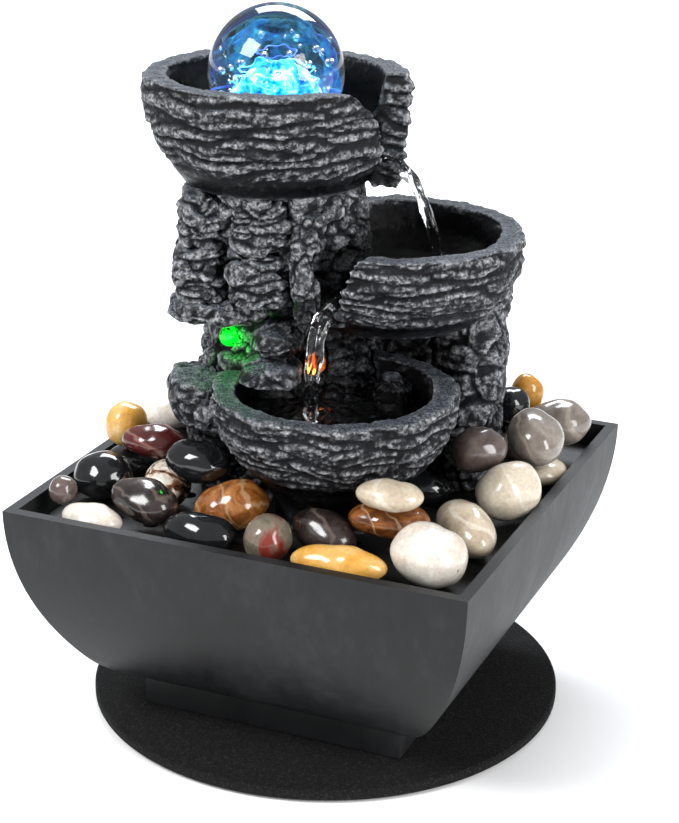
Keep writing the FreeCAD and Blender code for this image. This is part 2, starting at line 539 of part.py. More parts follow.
def pump():
    y = "outlet_y"
    spin = "spin_z"
    low, high = "outlet_y - pump_half", "outlet_y + pump_half"
    right = "chamber_right + pump_back"
    rotor_end = "chamber_right + rotor_length"
    block = box("motor_block", "chamber_right", right, low, high, "pump_low", "pump_top")
    softened = doc.addObject("Part::Fillet", "motor_softened")
    doc.recompute()
    softened.Base = block
    upright = [index + 1 for index, edge in enumerate(block.Shape.Edges)
               if abs(edge.tangentAt(edge.FirstParameter).z) > 0.9 and edge.CenterOfMass.x > size(right) - 1]
    softened.Edges = [(index, size("motor_round"), size("motor_round")) for index in upright]
    gland_z = "pump_top - gland_drop"
    gland_in = f"{right} - gland_depth"
    shaft_end = f"{rotor_end} + seat_depth"
    gland = rod("gland_seat", "gland_radius", gland_in, right, y, gland_z)
    well = rod("rotor_well", "rotor_radius + rotor_gap", "chamber_right", rotor_end, y, spin)
    shaft_seat = rod("shaft_seat", "shaft_radius", rotor_end, shaft_end, y, spin)
    node("pump_housing", cut("pump_housing", softened, [gland, well, shaft_seat]))

    chamber = box("chamber_block", "chamber_left", "chamber_right", low, high, "pump_low", "pump_top")
    volute = rod("volute", "blade_radius + volute_gap", "chamber_left", "chamber_right", y, spin)
    outlet = cylinder("outlet_way", "nozzle_bore", spin, "pump_top", "outlet_x", y)
    node("pump_chamber", cut("pump_chamber", chamber, [volute, outlet]))

    pipe = cylinder("nozzle_pipe", "nozzle_radius", "pump_top", "nozzle_top", "outlet_x", y)
    flange = cylinder("nozzle_flange", "nozzle_radius + flange_step", "pump_top", "pump_top + flange_step",
                      "outlet_x", y)
    bore = cylinder("nozzle_way", "nozzle_bore", "pump_top", "nozzle_top", "outlet_x", y)
    node("pump_nozzle", cut("pump_nozzle", fuse("nozzle_solid", [pipe, flange]), [bore]))

    cover = box("cover_block", "cover_left", "chamber_left", low, high, "pump_low", "pump_top")
    inlets = [rod("stem_hole", "knob_stem + pivot_fit", "cover_left", "chamber_left", y, spin)]
    for side in (-1, 1):
        middle = f"{y} + {side} * inlet_at"
        inlets.append(box(f"inlet_{side}", "cover_left", "chamber_left", f"{middle} - inlet_half_width",
                          f"{middle} + inlet_half_width", f"{spin} - inlet_half", f"{spin} + inlet_half"))
    for index in range(int(size("sieve_count"))):
        start = f"{y} - sieve_first + {index} * sieve_pitch"
        inlets.append(box(f"sieve_{index}", "cover_left", "cover_left + sieve_depth", start,
                          f"{start} + sieve_width", "pump_top - sieve_low", "pump_top - sieve_high"))
    node("intake_cover", cut("intake_cover", cover, inlets))

    dial = rod("dial", "knob_radius", "knob_left", "knob_left + knob_thick", y, spin)
    stem = rod("dial_stem", "knob_stem", "knob_left", "chamber_left", y, spin)
    pointer = box("dial_pointer", "knob_left - pointer_proud", "knob_left", f"{y} - pointer_half",
                  f"{y} + pointer_half", f"{spin} - pointer_inset", f"{spin} + knob_radius - pointer_inset")
    node("flow_regulator", fuse("flow_regulator", [dial, stem, pointer]))

    magnet = rod("rotor_magnet", "rotor_radius", "chamber_right - rotor_lead", f"{rotor_end} - rotor_play",
                 y, spin)
    hub = rod("blade_hub", "hub_radius", "chamber_left + hub_start", "chamber_right - hub_end", y, spin)
    blades = []
    for index in range(int(size("blade_count"))):
        blade = box(f"blade_{index}", "0", "blade_height", "-blade_half", "blade_half", "0", "blade_radius")
        place(blade, "chamber_left + blade_start", y, spin, f"{index} * 360 / blade_count", V(1, 0, 0))
        blades.append(blade)
    shaft_hole = rod("shaft_hole", "shaft_radius + pivot_fit", "chamber_left", rotor_end, y, spin)
    node("impeller", cut("impeller", fuse("impeller_solid", [magnet, hub, *blades]), [shaft_hole]))
    node("impeller_shaft", rod("impeller_shaft", "shaft_radius", "chamber_left + shaft_play", shaft_end,
                               y, spin))

    gland_out = f"{right} + gland_length"
    gland_sleeve = rod("gland_sleeve", "gland_radius", gland_in, gland_out, y, gland_z)
    gland_way = rod("gland_way", "gland_bore", gland_in, gland_out, y, gland_z)
    node("cable_gland", cut("cable_gland", gland_sleeve, [gland_way]))

    cups = []
    cup_left, cup_right = "cover_left + cup_inset", f"{right} - cup_inset"
    for index, (x, side) in enumerate(((cup_left, -1), (cup_left, 1), (cup_right, -1), (cup_right, 1))):
        cup = doc.addObject("Part::Cone", f"cup_{index}")
        bind(cup, Radius1="cup_radius", Radius2="cup_radius / 2", Height="pump_low - floor_z")
        cups.append(place(cup, x, f"{y} + {side} * cup_at", "floor_z"))
    node("suction_cups", group("suction_cups", cups))


# ---------------------------------------------------------------- tower

def rock_rings(name, grow):
    """Rings of points for one rock, jittered by a seed of its own name."""
    rings, _ = ROCKS[name]
    seed = random.Random(name)
    power = size(f"{name}_squareness")
    sides = 14
    made = []
    for index in range(len(rings)):
        read = {key: size(f"{name}_{index}_{key}")
                for key in ("height", "centre_u", "centre_w", "half_u", "half_w")}
        ring = []
        for side in range(sides):
            angle = 2 * math.pi * (side + seed.uniform(-0.12, 0.12)) / sides
            c, s = math.cos(angle), math.sin(angle)
            reach = (abs(c) ** power + abs(s) ** power) ** (-1 / power) * seed.uniform(0.96, 1.0)
            ring.append(V(read["centre_u"] + c * (reach * read["half_u"] + grow),
                          read["centre_w"] + s * (reach * read["half_w"] + grow), read["height"]))
        made.append(ring)
    return made


def rock(name, grow=0.0):
    """A faceted stone through stacked rings; no primitive has such a shape."""
    rings = rock_rings(name, grow)
    faces = []
    for lower, upper in zip(rings, rings[1:]):
        for index in range(len(lower)):
            after = (index + 1) % len(lower)
            faces.append((lower[index], lower[after], upper[after]))
            faces.append((lower[index], upper[after], upper[index]))
    faces.append(tuple(reversed(rings[0])))
    faces.append(tuple(rings[-1]))
    shell = Part.makeShell([Part.Face(Part.makePolygon([*face, face[0]])) for face in faces])
    feature = doc.addObject("Part::Feature", name + ("_room" if grow else "_stone"))
    feature.Shape = Part.makeSolid(shell)
    feature.Placement = FreeCAD.Placement()
    return feature


def basin_outline(name, inside):
    steps = []
    outer = BASINS[name]["outer"]
    inner = BASINS[name]["inner"]
    steps.append(("0", f"{name}_outer_{len(outer) - 1}_height", None))
    for index in reversed(range(len(outer))):
        steps.append((f"{name}_outer_{index}_radius", f"{name}_outer_{index}_height", None))
    if inside:
        for index in reversed(range(len(inner))):
            steps.append((f"{name}_inner_{index}_radius", f"{name}_inner_{index}_height", None))
        steps.append(("0", f"{name}_inner_0_height", None))
    else:
        steps.append(("0", f"{name}_outer_0_height", None))
    return steps


def basin_turned(name, inside=True):
    made = spun(f"{name}_turned" if inside else f"{name}_blank", basin_outline(name, inside))
    return place(made, f"{name}_u", f"{name}_w")


def basin_room(name):
    """The basin's outer shape and rock_gap more, to be cut from the rocks that carry it."""
    steps = basin_outline(name, inside=False)
    grown = [(radius, f"{height} - rock_gap", None) for radius, height, _ in steps[:2]]
    grown += [(f"{radius} + rock_gap", height, None) for radius, height, _ in steps[1:-1]]
    grown.append(steps[-1])
    return place(spun(f"{name}_room", grown), f"{name}_u", f"{name}_w")


def wedge(name, foot, top, height):
    """A tapered block: foot and top are (y low, y high, x low, x high), rising from z 0."""
    made = doc.addObject("Part::Wedge", name)
    bind(made, Xmin=foot[0], Xmax=foot[1], Zmin=foot[2], Zmax=foot[3], Ymin="0", Ymax=height,
         X2min=top[0], X2max=top[1], Z2min=top[2], Z2max=top[3])
    # Part::Wedge tapers along its own Y: turn Y up and X across
    return place(made, turn="120", axis=V(1, 1, 1))


def spout(name):
    """The beak under a spout and the tapered channel through it, both along its bearing."""
    key = f"{name}_spout_"
    rise = f"{name}_outer_0_height - {key}lip"
    reach = f"{key}reach"
    foot = f"beak_taper * {key}beak"
    beak = wedge(f"{name}_beak", (f"-{foot}", foot, f"{reach} - beak_back", f"{reach} - beak_front"),
                 (f"-{key}beak", f"{key}beak", f"{reach} - beak_top_back", reach), f"{rise} + 2")
    beak.setExpression("Placement.Base.z", ref("-beak_drop"))
    past = f"{reach} + channel_past"
    channel = wedge(f"{name}_channel", ("-channel_half", "channel_half", "channel_start", past),
                    (f"{key}right", f"{key}left", "channel_start", past), f"{rise} + 4")
    placed = []
    for tool in (beak, channel):
        holder = group(tool.Name + "_placed", [tool])
        placed.append(place(holder, f"{name}_u", f"{name}_w", f"{key}lip", f"{key}bearing"))
    return placed


def basins():
    riser = cylinder("basin_riser", "tube_radius + tube_gap", "upper_outer_5_height - run_in",
                     "seat_low", "upper_u", "upper_w")
    for name in BASINS:
        made = basin_turned(name)
        tools = []
        if "spout" in BASINS[name]:
            beak, channel = spout(name)
            made = fuse(f"{name}_beaked", [made, beak])
            tools.append(channel)
        tools.append(riser if name == "upper" else rock("tower_core", size("rock_gap")))
        tower_node(f"{name}_basin", cut(f"{name}_basin", made, tools))


def lamp(name):
    """A sealed lamp and its lens, pressed into the tower core; returns its pocket."""
    u, z, front = f"{name}_u", f"{name}_z", f"{name}_front"
    back = f"{front} + lamp_length"
    tower_node(f"{name}_lamp", lengthwise(f"{name}_lamp", "lamp_radius", u, front, back, z))
    lens = lengthwise(f"{name}_lens_round", "lamp_radius", u, f"{front} - lens_length", front, z)
    bulge = "lamp_radius + lens_dome"
    dome = ball(f"{name}_lens_ball", bulge, u, f"{front} + {bulge} - lens_length", z)
    tower_node(f"{name}_lens", common(f"{name}_lens", [lens, dome]))
    return lengthwise(f"{name}_pocket", "lamp_radius + lamp_fit", u, f"{front} - pocket_mouth", back, z)


# Which rocks, and which basins, each rock is cut back from.
RESTS_ON = {
    "left_base_rock": (["tower_core"], ["lower"]),
    "ledge_rock": (["tower_core"], ["lower"]),
    "overhang_slab": (["tower_core"], []),
    "slab_lower_left": (["tower_core"], []),
    "slab_lower_right": (["tower_core", "slab_lower_left"], ["middle"]),
    "slab_upper_left": (["tower_core"], []),
    "slab_upper_right": (["tower_core", "slab_upper_left"], []),
    "wedge_rock": (["tower_core", "slab_lower_right", "slab_upper_right"], ["middle"]),
    "rear_column": (["tower_core"], ["middle"]),
    "right_column": (["tower_core", "rear_column"], ["middle", "lower"]),
    "boulder_lower": (["tower_core", "ledge_rock"], ["lower"]),
    "boulder_upper": (["tower_core", "overhang_slab"], ["middle"]),
}


def rocks():
    core_low = "tower_low - run_in"
    core_high = "upper_outer_5_height + run_in"
    tools = [
        cylinder("riser_way", "tube_hole", core_low, core_high, "upper_u", "upper_w"),
        cylinder("core_hollow", "hollow_radius", core_low, "hollow_top", "hollow_u", "hollow_w"),
        lamp("niche"),
        lamp("cascade"),
    ]
    tower_node("tower_core", cut("tower_core", rock("tower_core"), tools))
    gap = size("rock_gap")
    for name, (stones, hollows) in RESTS_ON.items():
        rooms = [rock(stone, gap) for stone in stones] + [basin_room(basin) for basin in hollows]
        tower_node(name, cut(name, rock(name), rooms))
    tower_node("pool_boulder", cut("pool_boulder", rock("pool_boulder"), [basin_turned("lower")]))


def ball_and_seat():
    u, w = "upper_u", "upper_w"
    tube = cylinder("tube_round", "tube_radius", "tube_low", "tube_top", u, w)
    tube_way = cylinder("tube_way_through", "tube_bore", "tube_low", "tube_top", u, w)
    tower_node("riser_tube", cut("riser_tube", tube, [tube_way]))
    round_seat = cylinder("seat_round", "seat_radius", "seat_low", "seat_top", u, w)
    tools = [
        cylinder("seat_way", "tube_radius + tube_gap", "seat_low", "seat_top", u, w),
        ball("seat_socket", "ball_radius + seat_gap", u, w, "ball_z"),
    ]
    lights = []
    for index in range(int(size("led_count"))):
        angle = f"{index} * 360 / led_count + 90"
        x, y = f"{u} + led_ring * cos({angle})", f"{w} + led_ring * sin({angle})"
        floor = "seat_low + led_floor"
        lights.append(cylinder(f"ball_light_{index}", "led_radius", floor, "led_top", x, y))
        tools.append(cylinder(f"light_pocket_{index}", "led_radius + led_fit", floor, "seat_top", x, y))
        slot = box(f"seat_slot_{index}", "0", "seat_radius + run_in", "-slot_half", "slot_half",
                   "0", "slot_depth")
        tools.append(place(slot, u, w, "seat_top - slot_depth", f"{index} * 360 / led_count + 30"))
    tower_node("ball_seat", cut("ball_seat", round_seat, tools))
    tower_node("ball_lights", group("ball_lights", lights))
    tower_node("glass_ball", ball("glass_ball_round", "ball_radius", u, w, "ball_z"))


# ---------------------------------------------------------------- pebbles

def even_directions(count):
    """Unit vectors spread evenly over a sphere."""
    made = []
    for index in range(count):
        lift = 1 - 2 * (index + 0.5) / count
        spin = index * math.pi * (3 - math.sqrt(5))
        across = math.sqrt(1 - lift * lift)
        made.append(V(across * math.cos(spin), across * math.sin(spin), lift))
    return made


SAMPLES = even_directions(70)


class Pebble:
    """An ellipsoid with its own turn."""

    def __init__(self, colour, x, y, half, yaw, tilt):
        self.colour = colour
        self.half = half
        self.turn = FreeCAD.Rotation(UP, yaw).multiply(FreeCAD.Rotation(V(0, 1, 0), tilt))
        self.back = self.turn.inverted()
        self.at = V(x, y, 0)
        self.points = [self.turn.multVec(V(*(p[i] * half[i] for i in range(3)))) for p in SAMPLES]
        self.below = max(-point.z for point in self.points)
        self.reach = max(half)

    def holds(self, point, room):
        near = self.back.multVec(point - self.at)
        return sum((near[i] / (self.half[i] + room)) ** 2 for i in range(3)) < 1

    def touches(self, other, room):
        if (self.at - other.at).Length > self.reach + other.reach + room:
            return False
        return (any(other.holds(self.at + point, room) for point in self.points)
                or any(self.holds(other.at + point, room) for point in other.points))


def up_to(stations, height):
    """The stations at or below a height, and the values read straight between two at the height.

    The tower lifts straight up, so whatever stands over one of its lower sections is in its way.
    """
    made = [station[1:] for station in stations if station[0] <= height]
    for lower, upper in zip(stations, stations[1:]):
        if lower[0] <= height < upper[0]:
            share = (height - lower[0]) / (upper[0] - lower[0])
            made.append([a + share * (b - a) for a, b in zip(lower[1:], upper[1:])])
    return made


class Surroundings:
    """What the pebbles keep clear of: the bowl's walls and the foot of the tower."""

    def __init__(self):
        self.room = size("rock_keep")
        turn = math.radians(size("tower_turn"))
        self.cos, self.sin = math.cos(turn), math.sin(turn)
        self.rim = size("rim_z")
        self.side = size("side_radius") - size("wall")
        self.middle = size("bowl_half - side_radius")
        self.half = size("bowl_half - wall")
        self.axis = size("lower_u"), size("lower_w")
        count = len(BASINS["lower"]["outer"])
        self.basin = [[size(f"lower_outer_{index}_height"), size(f"lower_outer_{index}_radius")]
                      for index in reversed(range(count))]
        keys = ("height", "centre_u", "centre_w", "half_u", "half_w")
        self.rocks = []
        for name, (rings, _) in ROCKS.items():
            if rings[0][0] < size("rim_z") + 30:
                stations = [[size(f"{name}_{index}_{key}") for key in keys] for index in range(len(rings))]
                self.rocks.append((stations, size(f"{name}_squareness")))

    def blocks(self, point):
        drop = max(self.rim - point.z, 0)
        wall = self.middle + math.sqrt(self.side ** 2 - drop ** 2) if drop else self.half + 2
        if max(abs(point.x), abs(point.y)) > wall - self.room:
            return True
        u = point.x * self.cos + point.y * self.sin
        w = point.y * self.cos - point.x * self.sin
        for radius, in up_to(self.basin, point.z):
            if math.hypot(u - self.axis[0], w - self.axis[1]) < radius + self.room:
                return True
        for stations, power in self.rocks:
            for centre_u, centre_w, half_u, half_w in up_to(stations, point.z + self.room):
                across = abs(u - centre_u) / (half_u + self.room)
                along = abs(w - centre_w) / (half_w + self.room)
                if across ** power + along ** power < 1:
                    return True
        return False


def settle(pebble, laid, around, highest):
    """Raise a pebble from the tray until it is clear of what is there, moving it out if need be."""
    room = size("pebble_gap")
    lowest = size("tray_top") + room / 2 + pebble.below
    outward = V(pebble.at.x, pebble.at.y, 0).normalize()
    start = V(pebble.at)
    for shift in (0, 1.5, -1.5, 3, -3, 5, 7, 9):
        pebble.at = start + outward * shift
        near = [other for other in laid
                if math.hypot(other.at.x - pebble.at.x, other.at.y - pebble.at.y)
                < other.reach + pebble.reach + room]
        rise = 0.0
        while rise < highest:
            pebble.at.z = lowest + rise
            if (not any(pebble.touches(other, room) for other in near)
                    and not any(around.blocks(pebble.at + point) for point in pebble.points)):
                return True
            rise += 0.5
    return False


def grid(pitch, jitter, edge, seed):
    """Jittered places all over the tray."""
    steps = int(edge / pitch)
    for column in range(-steps, steps + 1):
        for line in range(-steps, steps + 1):
            x = column * edge / steps + seed.uniform(-jitter, jitter)
            y = line * edge / steps + seed.uniform(-jitter, jitter)
            yield x, y


def loose(kind, x, y, seed):
    """One stone of the fill, with its own size and lie."""
    scale = seed.uniform(0.88, 1.05)
    half = [size(f"{kind}_{side}") * scale for side in ("length", "width", "height")]
    return Pebble(seed.choice(FILL_GROUPS), x, y, half, seed.uniform(0, 180), seed.uniform(-6, 6))


def in_notch(x, y):
    """Over the tray's cut corner, where the bowl is filled."""
    inner = size("notch - tray_half + notch_keep")
    return x < inner and y > -inner


def lay_pebbles():
    around = Surroundings()
    seed = random.Random(7)
    laid = []
    jitter = size("fill_jitter")
    edge = size("fill_edge")
    for x, y in grid(size("under_pitch"), jitter, edge, seed):
        pebble = loose("under", x, y, seed)
        bare = (y < size("under_front")
                or x > size("bare_right") and size("bare_front") < y < size("bare_back"))
        if not bare and not in_notch(x, y) and settle(pebble, laid, around, size("under_rise")):
            laid.append(pebble)
    tops = []
    for index, (colour, *_) in enumerate(PEBBLES):
        key = f"pebble_{index}_"
        half = [size(key + name) for name in ("half_length", "half_width", "half_height")]
        pebble = Pebble(colour, size(key + "at_x"), size(key + "at_y"), half, size(key + "yaw"),
                        size(key + "tilt"))
        if not settle(pebble, laid, around, size("top_rise")):
            print(f"pebble {index}, one of {colour}, found no place")
            continue
        laid.append(pebble)
        tops.append(pebble)
    for x, y in grid(size("over_pitch"), jitter, edge, seed):
        pebble = loose("over", x, y, seed)
        clear = all(math.hypot(x - top.at.x, y - top.at.y) > size("over_clear") for top in tops)
        if clear and not in_notch(x, y) and settle(pebble, laid, around, size("over_rise")):
            laid.append(pebble)
    return laid


def pebbles():
    groups = {}
    for index, pebble in enumerate(lay_pebbles()):
        stone = doc.addObject("Part::Ellipsoid", f"stone_{index}")
        stone.Radius2, stone.Radius3, stone.Radius1 = pebble.half
        stone.Angle1, stone.Angle2, stone.Angle3 = -90, 90, 360
        stone.Placement = FreeCAD.Placement(pebble.at, pebble.turn)
        groups.setdefault(pebble.colour, []).append(stone)
    for colour, stones in groups.items():
        node(colour, group(colour, stones))


# ---------------------------------------------------------------- build and write

turntable()
bowl()
foot_plate()
pebble_tray()
pump()
basins()
rocks()
ball_and_seat()
pebbles()
doc.recompute()

for obj in doc.Objects:
    if "Invalid" in obj.State or "Error" in obj.State:
        raise RuntimeError(f"{obj.Label} did not build: {obj.State}")
for obj in NODES:
    if obj.Shape.isNull() or not obj.Shape.isValid() or not obj.Shape.Solids:
        raise RuntimeError(f"{obj.Label} has no valid solid")
    obj.Shape.exportStep(f"parts/{obj.Label}.step")
print(f"{len(NODES)} nodes, {sum(len(obj.Shape.Solids) for obj in NODES)} solids")
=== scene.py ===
import json
import math
import random

import bmesh
import bpy
import numpy as np
from mathutils import Matrix, Vector, noise
from mathutils.bvhtree import BVHTree

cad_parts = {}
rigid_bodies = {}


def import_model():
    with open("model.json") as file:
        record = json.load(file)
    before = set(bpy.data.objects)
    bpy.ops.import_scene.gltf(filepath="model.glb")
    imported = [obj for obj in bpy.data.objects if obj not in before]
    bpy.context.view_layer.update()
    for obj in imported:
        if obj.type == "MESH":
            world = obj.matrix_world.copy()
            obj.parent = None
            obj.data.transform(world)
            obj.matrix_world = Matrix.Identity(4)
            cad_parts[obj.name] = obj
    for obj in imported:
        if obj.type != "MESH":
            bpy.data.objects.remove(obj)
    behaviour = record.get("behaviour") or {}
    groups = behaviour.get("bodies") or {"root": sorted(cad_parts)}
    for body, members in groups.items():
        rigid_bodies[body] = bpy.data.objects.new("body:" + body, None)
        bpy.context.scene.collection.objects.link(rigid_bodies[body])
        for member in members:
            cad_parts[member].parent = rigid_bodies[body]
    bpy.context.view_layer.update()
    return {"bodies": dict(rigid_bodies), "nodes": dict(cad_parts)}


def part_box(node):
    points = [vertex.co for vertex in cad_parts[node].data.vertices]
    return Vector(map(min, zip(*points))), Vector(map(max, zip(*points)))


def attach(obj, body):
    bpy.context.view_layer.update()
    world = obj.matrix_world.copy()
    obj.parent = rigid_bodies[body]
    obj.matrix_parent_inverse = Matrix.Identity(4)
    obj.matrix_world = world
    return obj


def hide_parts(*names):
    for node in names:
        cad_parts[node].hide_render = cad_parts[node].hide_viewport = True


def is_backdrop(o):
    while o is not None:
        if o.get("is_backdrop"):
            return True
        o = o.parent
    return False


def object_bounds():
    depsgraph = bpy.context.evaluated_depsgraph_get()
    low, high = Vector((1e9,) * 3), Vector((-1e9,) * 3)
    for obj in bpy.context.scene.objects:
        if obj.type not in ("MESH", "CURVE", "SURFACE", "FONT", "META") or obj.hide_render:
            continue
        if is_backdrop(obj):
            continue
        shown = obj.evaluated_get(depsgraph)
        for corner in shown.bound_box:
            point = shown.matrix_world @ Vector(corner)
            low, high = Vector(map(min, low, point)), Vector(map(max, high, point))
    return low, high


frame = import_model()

# Looks for a tabletop water fountain. Everything is in metres in the CAD row's own frame; MM turns
# millimetres into them. Stone, pebbles, bowl and glass are built from the CAD nodes' own places, and
# water, bubbles and light are added.

MM = 0.001
NODES = frame["nodes"]


# ---------------------------------------------------------------- shader helpers

class Shader:
    """A small builder for one node material."""

    def __init__(self, name):
        self.material = bpy.data.materials.new(name)
        self.material.use_nodes = True
        self.tree = self.material.node_tree
        self.surface = self.tree.nodes["Principled BSDF"]
        self.place = self.node("ShaderNodeTexCoord").outputs["Object"]

    def node(self, kind, **settings):
        made = self.tree.nodes.new(kind)
        for key, value in settings.items():
            setattr(made, key, value)
        return made

    def link(self, source, target):
        self.tree.links.new(source, target)

    def set(self, **sockets):
        for key, value in sockets.items():
            self.surface.inputs[key.replace("_", " ")].default_value = value

    def noise(self, scale, detail=4.0, rough=0.55, warp=0.0, stretch=None):
        made = self.node("ShaderNodeTexNoise")
        made.inputs["Scale"].default_value = scale
        made.inputs["Detail"].default_value = detail
        made.inputs["Roughness"].default_value = rough
        made.inputs["Distortion"].default_value = warp
        self.link(self.stretched(stretch) if stretch else self.place, made.inputs["Vector"])
        return made.outputs["Fac"]

    def stretched(self, stretch):
        mapping = self.node("ShaderNodeMapping")
        mapping.inputs["Scale"].default_value = stretch
        self.link(self.place, mapping.inputs["Vector"])
        return mapping.outputs["Vector"]

    def cells(self, scale):
        made = self.node("ShaderNodeTexVoronoi", feature="F1")
        made.inputs["Scale"].default_value = scale
        self.link(self.place, made.inputs["Vector"])
        return made.outputs["Distance"]

    def waves(self, scale, warp, detail, stretch=None):
        made = self.node("ShaderNodeTexWave", wave_type="BANDS", bands_direction="DIAGONAL")
        made.inputs["Scale"].default_value = scale
        made.inputs["Distortion"].default_value = warp
        made.inputs["Detail"].default_value = detail
        self.link(self.stretched(stretch) if stretch else self.place, made.inputs["Vector"])
        return made.outputs["Fac"]

    def ramp(self, factor, *stops):
        """Colours or greys by factor: stops are (position, colour or grey)."""
        made = self.node("ShaderNodeValToRGB")
        bar = made.color_ramp
        while len(bar.elements) < len(stops):
            bar.elements.new(0.5)
        for element, (position, colour) in zip(bar.elements, stops):
            element.position = position
            element.color = (*colour, 1) if isinstance(colour, tuple) else (colour, colour, colour, 1)
        self.link(factor, made.inputs["Fac"])
        return made.outputs["Color"]

    def mix(self, factor, first, second, blend="MIX"):
        made = self.node("ShaderNodeMix", data_type="RGBA", blend_type=blend)
        for socket, value in ((made.inputs[0], factor), (made.inputs[6], first), (made.inputs[7], second)):
            if hasattr(value, "node"):
                self.link(value, socket)
            elif isinstance(value, tuple):
                socket.default_value = (*value, 1)
            else:
                socket.default_value = value
        return made.outputs[2]

    def math(self, operation, first, second=0.0):
        made = self.node("ShaderNodeMath", operation=operation)
        for socket, value in zip(made.inputs, (first, second)):
            if hasattr(value, "node"):
                self.link(value, socket)
            else:
                socket.default_value = value
        return made.outputs[0]

    def attribute(self, name):
        return self.node("ShaderNodeAttribute", attribute_name=name).outputs["Fac"]

    def upward(self):
        """How far the surface faces up."""
        split = self.node("ShaderNodeSeparateXYZ")
        self.link(self.node("ShaderNodeNewGeometry").outputs["Normal"], split.inputs[0])
        return split.outputs["Z"]

    def colour(self, source):
        self.link(source, self.surface.inputs["Base Color"])

    def roughness(self, source):
        self.link(source, self.surface.inputs["Roughness"])

    def glowing(self, source, strength):
        """Coloured and lit from within by the same pattern."""
        self.colour(source)
        self.link(source, self.surface.inputs["Emission Color"])
        self.set(Emission_Strength=strength)

    def bump(self, source, strength, distance):
        made = self.node("ShaderNodeBump")
        made.inputs["Strength"].default_value = strength
        made.inputs["Distance"].default_value = distance
        self.link(source, made.inputs["Height"])
        self.link(made.outputs["Normal"], self.surface.inputs["Normal"])


# ---------------------------------------------------------------- materials

def rock_material():
    """Charcoal resin, silver dry brushing on its ridges, a painted top light of blue-grey speckle on upward
    faces, wet black hollows.
    """
    s = Shader("rock_resin")
    s.set(Specular_IOR_Level=0.13)
    grain = s.noise(900, 5, 0.7)
    patch = s.noise(90, 4, 0.6)
    worn = s.attribute("worn")
    wet = s.attribute("wet")
    top = s.ramp(s.upward(), (0.55, 0.0), (0.9, 1.0))
    base = s.ramp(patch, (0.3, (0.0035, 0.0038, 0.0048)), (0.7, (0.011, 0.0115, 0.014)))
    silver = s.ramp(grain, (0.36, (0.05, 0.053, 0.06)), (0.6, (0.42, 0.43, 0.45)))
    brushed = s.math("MULTIPLY", worn, s.ramp(s.noise(420, 4, 0.7), (0.42, 0.1), (0.58, 1.0)))
    body = s.mix(brushed, base, silver)
    speckle = s.ramp(s.noise(1500, 2, 0.6), (0.42, (0.012, 0.015, 0.021)), (0.64, (0.2, 0.225, 0.27)))
    # painted light: upward faces take a lighter blue-grey speckle as if lit from above, less of it where
    # wet
    painted_top_light = s.math("MULTIPLY", top, s.math("SUBTRACT", 0.6, s.math("MULTIPLY", wet, 0.6)))
    body = s.mix(painted_top_light, body, speckle)
    soaked = s.mix(1.0, body, (0.1, 0.105, 0.11), "MULTIPLY")
    s.colour(s.mix(wet, body, soaked))
    dry_rough = s.ramp(grain, (0.3, 0.42), (0.7, 0.72))
    s.roughness(s.mix(wet, dry_rough, (0.12, 0.12, 0.12)))
    pits = s.math("ADD", s.math("MULTIPLY", grain, 0.7), s.math("MULTIPLY", s.noise(350, 4, 0.6), 0.6))
    s.bump(pits, 0.9, 0.6 * MM)
    return s.material


def moulded(name, colour, rough=0.45, grain=1500, bump=0.12, fleck=0.25):
    """Moulded plastic or rubber with a fine cast grain and faint cloudiness."""
    s = Shader(name)
    light = tuple(min(1.0, c * (1 + fleck) + 0.004) for c in colour)
    dark = tuple(c * (1 - fleck) for c in colour)
    cloud = s.noise(45, 5, 0.6)
    s.colour(s.ramp(cloud, (0.3, dark), (0.7, light)))
    fine = s.noise(grain, 3, 0.6)
    s.roughness(s.ramp(fine, (0.3, rough - 0.08), (0.7, rough + 0.1)))
    s.bump(fine, bump, 0.15 * MM)
    return s.material


def bowl_material():
    """Dark satin plastic with faint upright smears."""
    s = Shader("bowl_plastic")
    smear = s.noise(26, 6, 0.62, 0.6, (1.0, 1.0, 0.45))
    fine = s.noise(230, 5, 0.7, 0.0, (1.0, 1.0, 0.5))
    tone = s.math("ADD", s.math("MULTIPLY", smear, 0.65), s.math("MULTIPLY", fine, 0.35))
    s.set(Specular_IOR_Level=0.3)
    s.colour(s.ramp(tone, (0.36, (0.007, 0.0073, 0.008)), (0.52, (0.013, 0.0135, 0.0145)),
                    (0.66, (0.026, 0.0265, 0.028))))
    s.roughness(s.ramp(tone, (0.35, 0.4), (0.65, 0.56)))
    grit = s.math("ADD", s.noise(1800, 2, 0.6), s.math("MULTIPLY", smear, 1.5))
    s.bump(grit, 0.18, 0.2 * MM)
    return s.material


def disc_material():
    """Black flocked board with a sandy fleck."""
    s = Shader("disc_board")
    grain = s.noise(1300, 4, 0.75)
    spots = s.cells(900)
    s.colour(s.ramp(grain, (0.38, (0.003, 0.003, 0.0035)), (0.55, (0.008, 0.008, 0.0085)),
                    (0.74, (0.06, 0.058, 0.056))))
    s.roughness(s.ramp(grain, (0.3, 0.8), (0.7, 0.95)))
    s.set(Specular_IOR_Level=0.2)
    s.bump(s.math("ADD", grain, spots), 0.8, 0.6 * MM)
    return s.material


